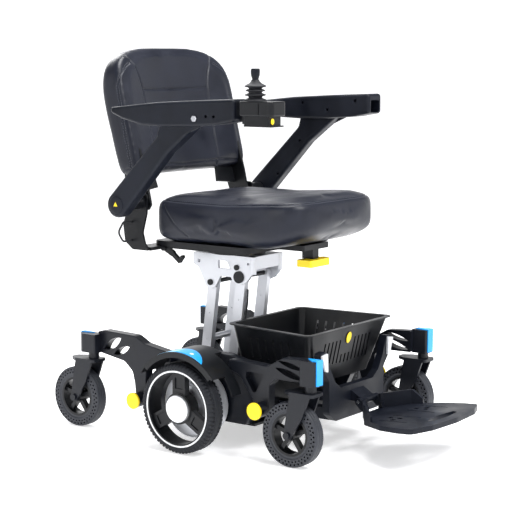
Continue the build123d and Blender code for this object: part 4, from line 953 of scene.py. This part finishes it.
class WHEELCHAIR_OT_trim(bpy.types.Operator):
    """Builds the fender films, the plain badges, the arm caps and the armrest bolts"""

    bl_idname = "wheelchair.trim"
    bl_label = "Trim and Badges"

    def execute(self, context):
        for side, sign in SIDES:
            films = (("blue", FILM_MEET, FILM_END, "blue_polycarbonate"),
                     ("pale", FILM_START, FILM_MEET + 0.2, "pale_blue_film"))
            for tint, start, end, finish in films:
                film = fender_film(side, sign, f"fender_film_{tint}_{side}", start, end,
                                   0.4 * MM)
                place(film, "base", finish, "blue_trim")
            dot = film_dot(side, sign, f"fender_dot_{side}", 103.0, 22 * MM, 5.5 * MM)
            place(dot, "base", "white_film", "blue_trim")
            self.arm_cap(side, sign)
            self.arm_bolt(side, sign)
        self.oval("basket_badge", self.basket_spot(), (11 * MM, 15 * MM), "base", 0.225)
        low = corners("joystick_housing")[0]
        spot = (low[0] + 18 * MM, low[1] + 8.6 * MM, low[2] + 13 * MM)
        self.oval("joystick_badge", spot, (6.5 * MM, 8 * MM), "arm_right")
        return {"FINISHED"}

    def basket_spot(self):
        """A point on the basket's front wall, which slopes in towards its foot."""
        low, high = corners("basket")
        return 0.0, low[1] + 13 * MM, high[2] - 32 * MM

    def oval(self, name, spot, half, body, slope=0.0):
        """Low dome: the radius follows a quarter circle from rim to middle, and the whole
        sits back by the slope times the depth below its middle."""
        turn = np.linspace(0, 2 * np.pi, 40, endpoint=False)
        lift = np.linspace(0, 0.5 * np.pi, 6)
        x = spot[0] + half[0] * np.cos(lift)[:, None] * np.cos(turn)
        z = spot[2] + half[1] * np.cos(lift)[:, None] * np.sin(turn)
        y = spot[1] - 1.5 * MM * np.sin(lift)[:, None] + slope * (spot[2] - z)
        badge = skin(name, np.stack([x, y, z], -1), wrap_cols=True, caps=True)
        place(badge, body, "yellow_polycarbonate", "yellow_trim")

    def arm_cap(self, side, sign):
        """Round cap over the arm's pivot, with a small plain triangle on it."""
        low, high = corners(f"armrest_beam_{side}")
        face = high[0] if sign > 0 else low[0]
        pivot = hinge_spot(f"armrest_flip_{side}")
        ring = np.array([(0.0, 23), (1.6, 22.5), (2.6, 21), (2.6, 12), (2.6, 0.01)]) * MM
        grid = turned(ring, (face - sign * 0.4 * MM, pivot[1], pivot[2]), 64, sign)
        cap = skin(f"arm_cap_{side}", grid, wrap_cols=True, caps=True)
        shade_by_angle(cap, 40)
        place(cap, f"arm_{side}", "textured_nylon", "arm_plastic")
        turn = np.radians([90, 210, 330])
        x = face + sign * 2.3 * MM
        lower = np.stack([np.full(3, x - sign * 0.5 * MM), pivot[1] + 7.5 * MM
                          * np.cos(turn), pivot[2] + 7.5 * MM * np.sin(turn)], -1)
        upper = lower + [sign * 0.7 * MM, 0, 0]
        points = np.stack([lower, upper])
        mark = skin(f"arm_mark_{side}", points, wrap_cols=True, caps=True, smooth=False)
        place(mark, f"arm_{side}", "yellow_polycarbonate", "yellow_trim")

    def arm_bolt(self, side, sign):
        """Flanged bolt through the arm: turned flange under a six-sided head."""
        low, high = corners(f"armrest_beam_{side}")
        face = high[0] if sign > 0 else low[0]
        y = axle_y() - 50 * MM
        z = high[2] - 23 * MM
        flange = np.array([(-0.5, 13), (2.0, 13), (3.0, 12), (3.6, 9.5), (3.6, 0.01)]) * MM
        washer = skin(f"arm_washer_{side}", turned(flange, (face, y, z), 48, sign),
                      wrap_cols=True, caps=True)
        shade_by_angle(washer, 30)
        place(washer, f"arm_{side}", "black_powder_coat", "black_steel")
        head = np.array([(3.0, 8.2), (8.0, 8.2), (9.2, 7.2), (9.2, 0.01)]) * MM
        bolt = skin(f"arm_bolt_{side}", turned(head, (face, y, z), 6, sign),
                    wrap_cols=True, caps=True, smooth=False)
        place(bolt, f"arm_{side}", "zinc_steel", "pin_steel")


def upright(profile, pivot, base, step, sides, narrow=1.0):
    """A profile of (height, radius) in millimetres, spaced evenly by the step and turned
    about the upright line through the pivot; narrow scales it across the chair."""
    fine = even_path(np.column_stack([profile, np.zeros(len(profile))]), step)[:, :2]
    turn = np.linspace(0, 2 * np.pi, sides, endpoint=False)
    radius = fine[:, 1:] * MM
    x = pivot[0] + radius * np.cos(turn) * narrow
    y = pivot[1] + radius * np.sin(turn)
    z = base + fine[:, :1] * MM * np.ones_like(x)
    return fine, np.stack([x, y, z], -1)


class WHEELCHAIR_OT_gaiter(bpy.types.Operator):
    """Builds the joystick's bellows and its thumb-shaped knob"""

    bl_idname = "wheelchair.gaiter"
    bl_label = "Joystick Bellows"

    def execute(self, context):
        pivot = hinge_spot("joystick_sideways")
        base = corners("joystick_gaiter")[0][2]
        rim = np.array([(0.0, 26.5), (3.0, 26.0), (4.5, 22.0), (6.5, 16.5), (9.5, 15.0),
                        (12.0, 17.0), (13.5, 23.0), (14.5, 25.0), (15.5, 23.0),
                        (18.0, 16.0)])
        upper = np.array([(18.0, 16.0), (20.5, 15.0), (23.0, 16.5), (24.0, 21.5),
                          (25.0, 23.0), (26.0, 21.5), (28.0, 15.5), (30.5, 14.5),
                          (33.0, 18.0), (34.0, 24.0), (35.0, 25.5), (36.5, 24.0),
                          (41.0, 15.0), (46.0, 9.6), (50.0, 8.2)])
        for name, profile, bodies in (
                ("joystick_bellows_lower", rim, ("arm_right", "joystick_gimbal")),
                ("joystick_bellows_upper", upper, ("joystick_gimbal", "joystick_stick"))):
            fine, points = upright(profile, pivot, base, 0.7, 56)
            part = new_object(name, points.reshape(-1, 3),
                              grid_faces(len(fine), 56, wrap_cols=True))
            wall = part.modifiers.new("wall", "SOLIDIFY")
            wall.thickness = 0.8 * MM
            applied(part)
            point_outwards(part)
            part.data.polygons.foreach_set(
                "use_smooth", np.ones(len(part.data.polygons), bool))
            coat(part, "soft_elastomer")
            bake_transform(part)
            if name.endswith("lower"):
                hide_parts("joystick_gaiter")
        self.knob(pivot, base)
        return {"FINISHED"}

    def knob(self, pivot, base):
        """Thumb knob: a waisted turned shape, narrowed a little from front to back."""
        top = corners("joystick_stick")[1][2]
        rise = (top - base) / MM
        shape = np.array([(46, 7.0), (49, 8.0), (52, 7.6), (55, 8.8), (60, 10.4),
                          (66, 11.2), (72, 11.2), (77, 10.0), (rise - 1.5, 6.5),
                          (rise - 0.3, 3.0), (rise, 0.01)])
        points = upright(shape, pivot, base, 0.8, 48, narrow=0.94)[1]
        knob = skin("joystick_knob", points, wrap_cols=True, caps=True)
        relaxed(knob, 3)
        place(knob, "joystick_stick", "textured_nylon", "joystick_case")
        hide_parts("joystick_stick")


# Which carried-over nodes, by the start of their names, take each finish.
CAD_FINISH = {
    "textured_nylon": ("armrest_beam", "armrest_pad", "footplate", "footrest_frame"),
    "black_abs": ("drive_rim", "caster_rim", "fender", "basket", "joystick_housing",
                  "battery_boxes"),
    "grey_powder_coat": ("side_frame", "front_arm", "rear_arm", "caster_fork"),
    "black_powder_coat": ("chassis_tray", "seat_pan", "seat_side_plates", "back_frame",
                          "swivel_bearing", "fold_lever", "upper_pins",
                          "joystick_gimbal"),
    "silver_lacquer": ("drive_motor", "rear_legs", "front_legs", "lift_head"),
    "satin_aluminium": ("hub_cap",),
    "zinc_steel": ("lower_pins",),
    "blue_polycarbonate": ("bumper_strips",),
    "yellow_polycarbonate": ("end_caps", "swivel_lever"),
    "reflector_lens": ("reflectors",),
    "soft_elastomer": ("leg_cable", "joystick_lead"),
    "black_anodised": ("motor_controller",),
}


class WHEELCHAIR_OT_finishes(bpy.types.Operator):
    """Gives every carried-over part its own finish"""

    bl_idname = "wheelchair.finishes"
    bl_label = "Part Finishes"

    def execute(self, context):
        for name, obj in NODES.items():
            if obj.hide_render:
                continue
            found = [f for f, stems in CAD_FINISH.items()
                     if any(name.startswith(stem) for stem in stems)]
            if not found:
                raise RuntimeError(f"no finish for {name}")
            for slot in obj.material_slots:
                slot.material = Finishes.get(found[0])
        return {"FINISHED"}


# Name, place, width in metres and power in watts of each soft lamp.
LAMPS = (("key", (-0.2, -2.6, 3.4), 1.6, 130), ("fill", (-3.4, 0.4, 1.8), 2.0, 22),
         ("back", (1.6, 3.0, 2.6), 2.0, 60), ("top", (0.2, 0.2, 3.4), 1.6, 110))
# The camera looks slightly down on the chair from its right and front.
CAMERA_ACROSS, CAMERA_AHEAD, CAMERA_HEIGHT = -3.2029, -2.3776, 0.9994
CAMERA_DOWN, CAMERA_TURN = 7.636, -53.319
CAMERA_LENS = 106.78


class WHEELCHAIR_OT_stage(bpy.types.Operator):
    """Builds the pale floor, the soft lights and the camera"""

    bl_idname = "wheelchair.stage"
    bl_label = "Stage"

    def execute(self, context):
        scene = context.scene
        world = bpy.data.worlds.new("studio")
        scene.world = world
        world.use_nodes = True
        sky = world.node_tree.nodes["Background"]
        sky.inputs["Color"].default_value = (0.96, 0.97, 1, 1)
        sky.inputs["Strength"].default_value = 0.30
        self.floor()
        centre = (np.array(CAD_BOX[0]) + np.array(CAD_BOX[1])) / 2
        for name, spot, size, power in LAMPS:
            lamp = bpy.data.lights.new(name, "AREA")
            lamp.shape = "DISK"
            lamp.size = size
            lamp.energy = power
            obj = bpy.data.objects.new(name, lamp)
            context.collection.objects.link(obj)
            obj.location = spot
            obj.rotation_euler = (Vector(centre) - Vector(spot)).to_track_quat(
                "-Z", "Y").to_euler()
        camera = bpy.data.cameras.new("camera")
        camera.sensor_width = 36.0
        camera.lens = CAMERA_LENS
        camera.clip_end = 60
        eye = bpy.data.objects.new("camera", camera)
        context.collection.objects.link(eye)
        eye.location = (CAMERA_ACROSS, axle_y() + CAMERA_AHEAD, CAMERA_HEIGHT)
        eye.rotation_euler = (math.radians(90 - CAMERA_DOWN), 0, math.radians(CAMERA_TURN))
        scene.camera = eye
        scene.view_settings.view_transform = "Standard"
        return {"FINISHED"}

    def floor(self):
        """Flat sheet that curves up far behind: height grows with the square of the
        distance past its flat part."""
        material, _, shader = finish_of("pale_paper", linear("#f7f7f8"), Roughness=0.9)
        shader.inputs["Emission Color"].default_value = linear("#ffffff")
        shader.inputs["Emission Strength"].default_value = 0.50
        steps = np.linspace(-9, 9, 61)
        x, y = np.meshgrid(steps, steps)
        far = np.clip(np.hypot(x, y) - 5.0, 0, None)
        z = 0.2 * far ** 2 - 0.0004
        floor = new_object("floor", np.stack([x, y, z], -1).reshape(-1, 3),
                           grid_faces(61, 61)[:, ::-1])
        floor.data.materials.append(material)


class WHEELCHAIR_PT_panel(bpy.types.Panel):
    """Lists the chair's pieces in the sidebar"""

    bl_label = "Wheelchair"
    bl_idname = "WHEELCHAIR_PT_panel"
    bl_space_type = "VIEW_3D"
    bl_region_type = "UI"
    bl_category = "Wheelchair"

    def draw(self, context):
        for values in (context.scene.wheelchair_sizes, context.scene.wheelchair_colours):
            for name in values.__annotations__:
                self.layout.prop(values, name)
        for step in STEPS:
            self.layout.operator(step.bl_idname)


STEPS = (WHEELCHAIR_OT_seat, WHEELCHAIR_OT_backrest, WHEELCHAIR_OT_drive_tyres,
         WHEELCHAIR_OT_caster_tyres, WHEELCHAIR_OT_trim, WHEELCHAIR_OT_gaiter,
         WHEELCHAIR_OT_finishes, WHEELCHAIR_OT_stage)
CLASSES = (ChairSizes, ChairColours, *STEPS, WHEELCHAIR_PT_panel)


def register():
    for cls in CLASSES:
        bpy.utils.register_class(cls)
    bpy.types.Scene.wheelchair_sizes = bpy.props.PointerProperty(type=ChairSizes)
    bpy.types.Scene.wheelchair_colours = bpy.props.PointerProperty(type=ChairColours)


def unregister():
    del bpy.types.Scene.wheelchair_colours
    del bpy.types.Scene.wheelchair_sizes
    for cls in reversed(CLASSES):
        bpy.utils.unregister_class(cls)


def main():
    register()
    for step in STEPS:
        group, name = step.bl_idname.split(".")
        getattr(getattr(bpy.ops, group), name)()


if __name__ == "__main__":
    main()
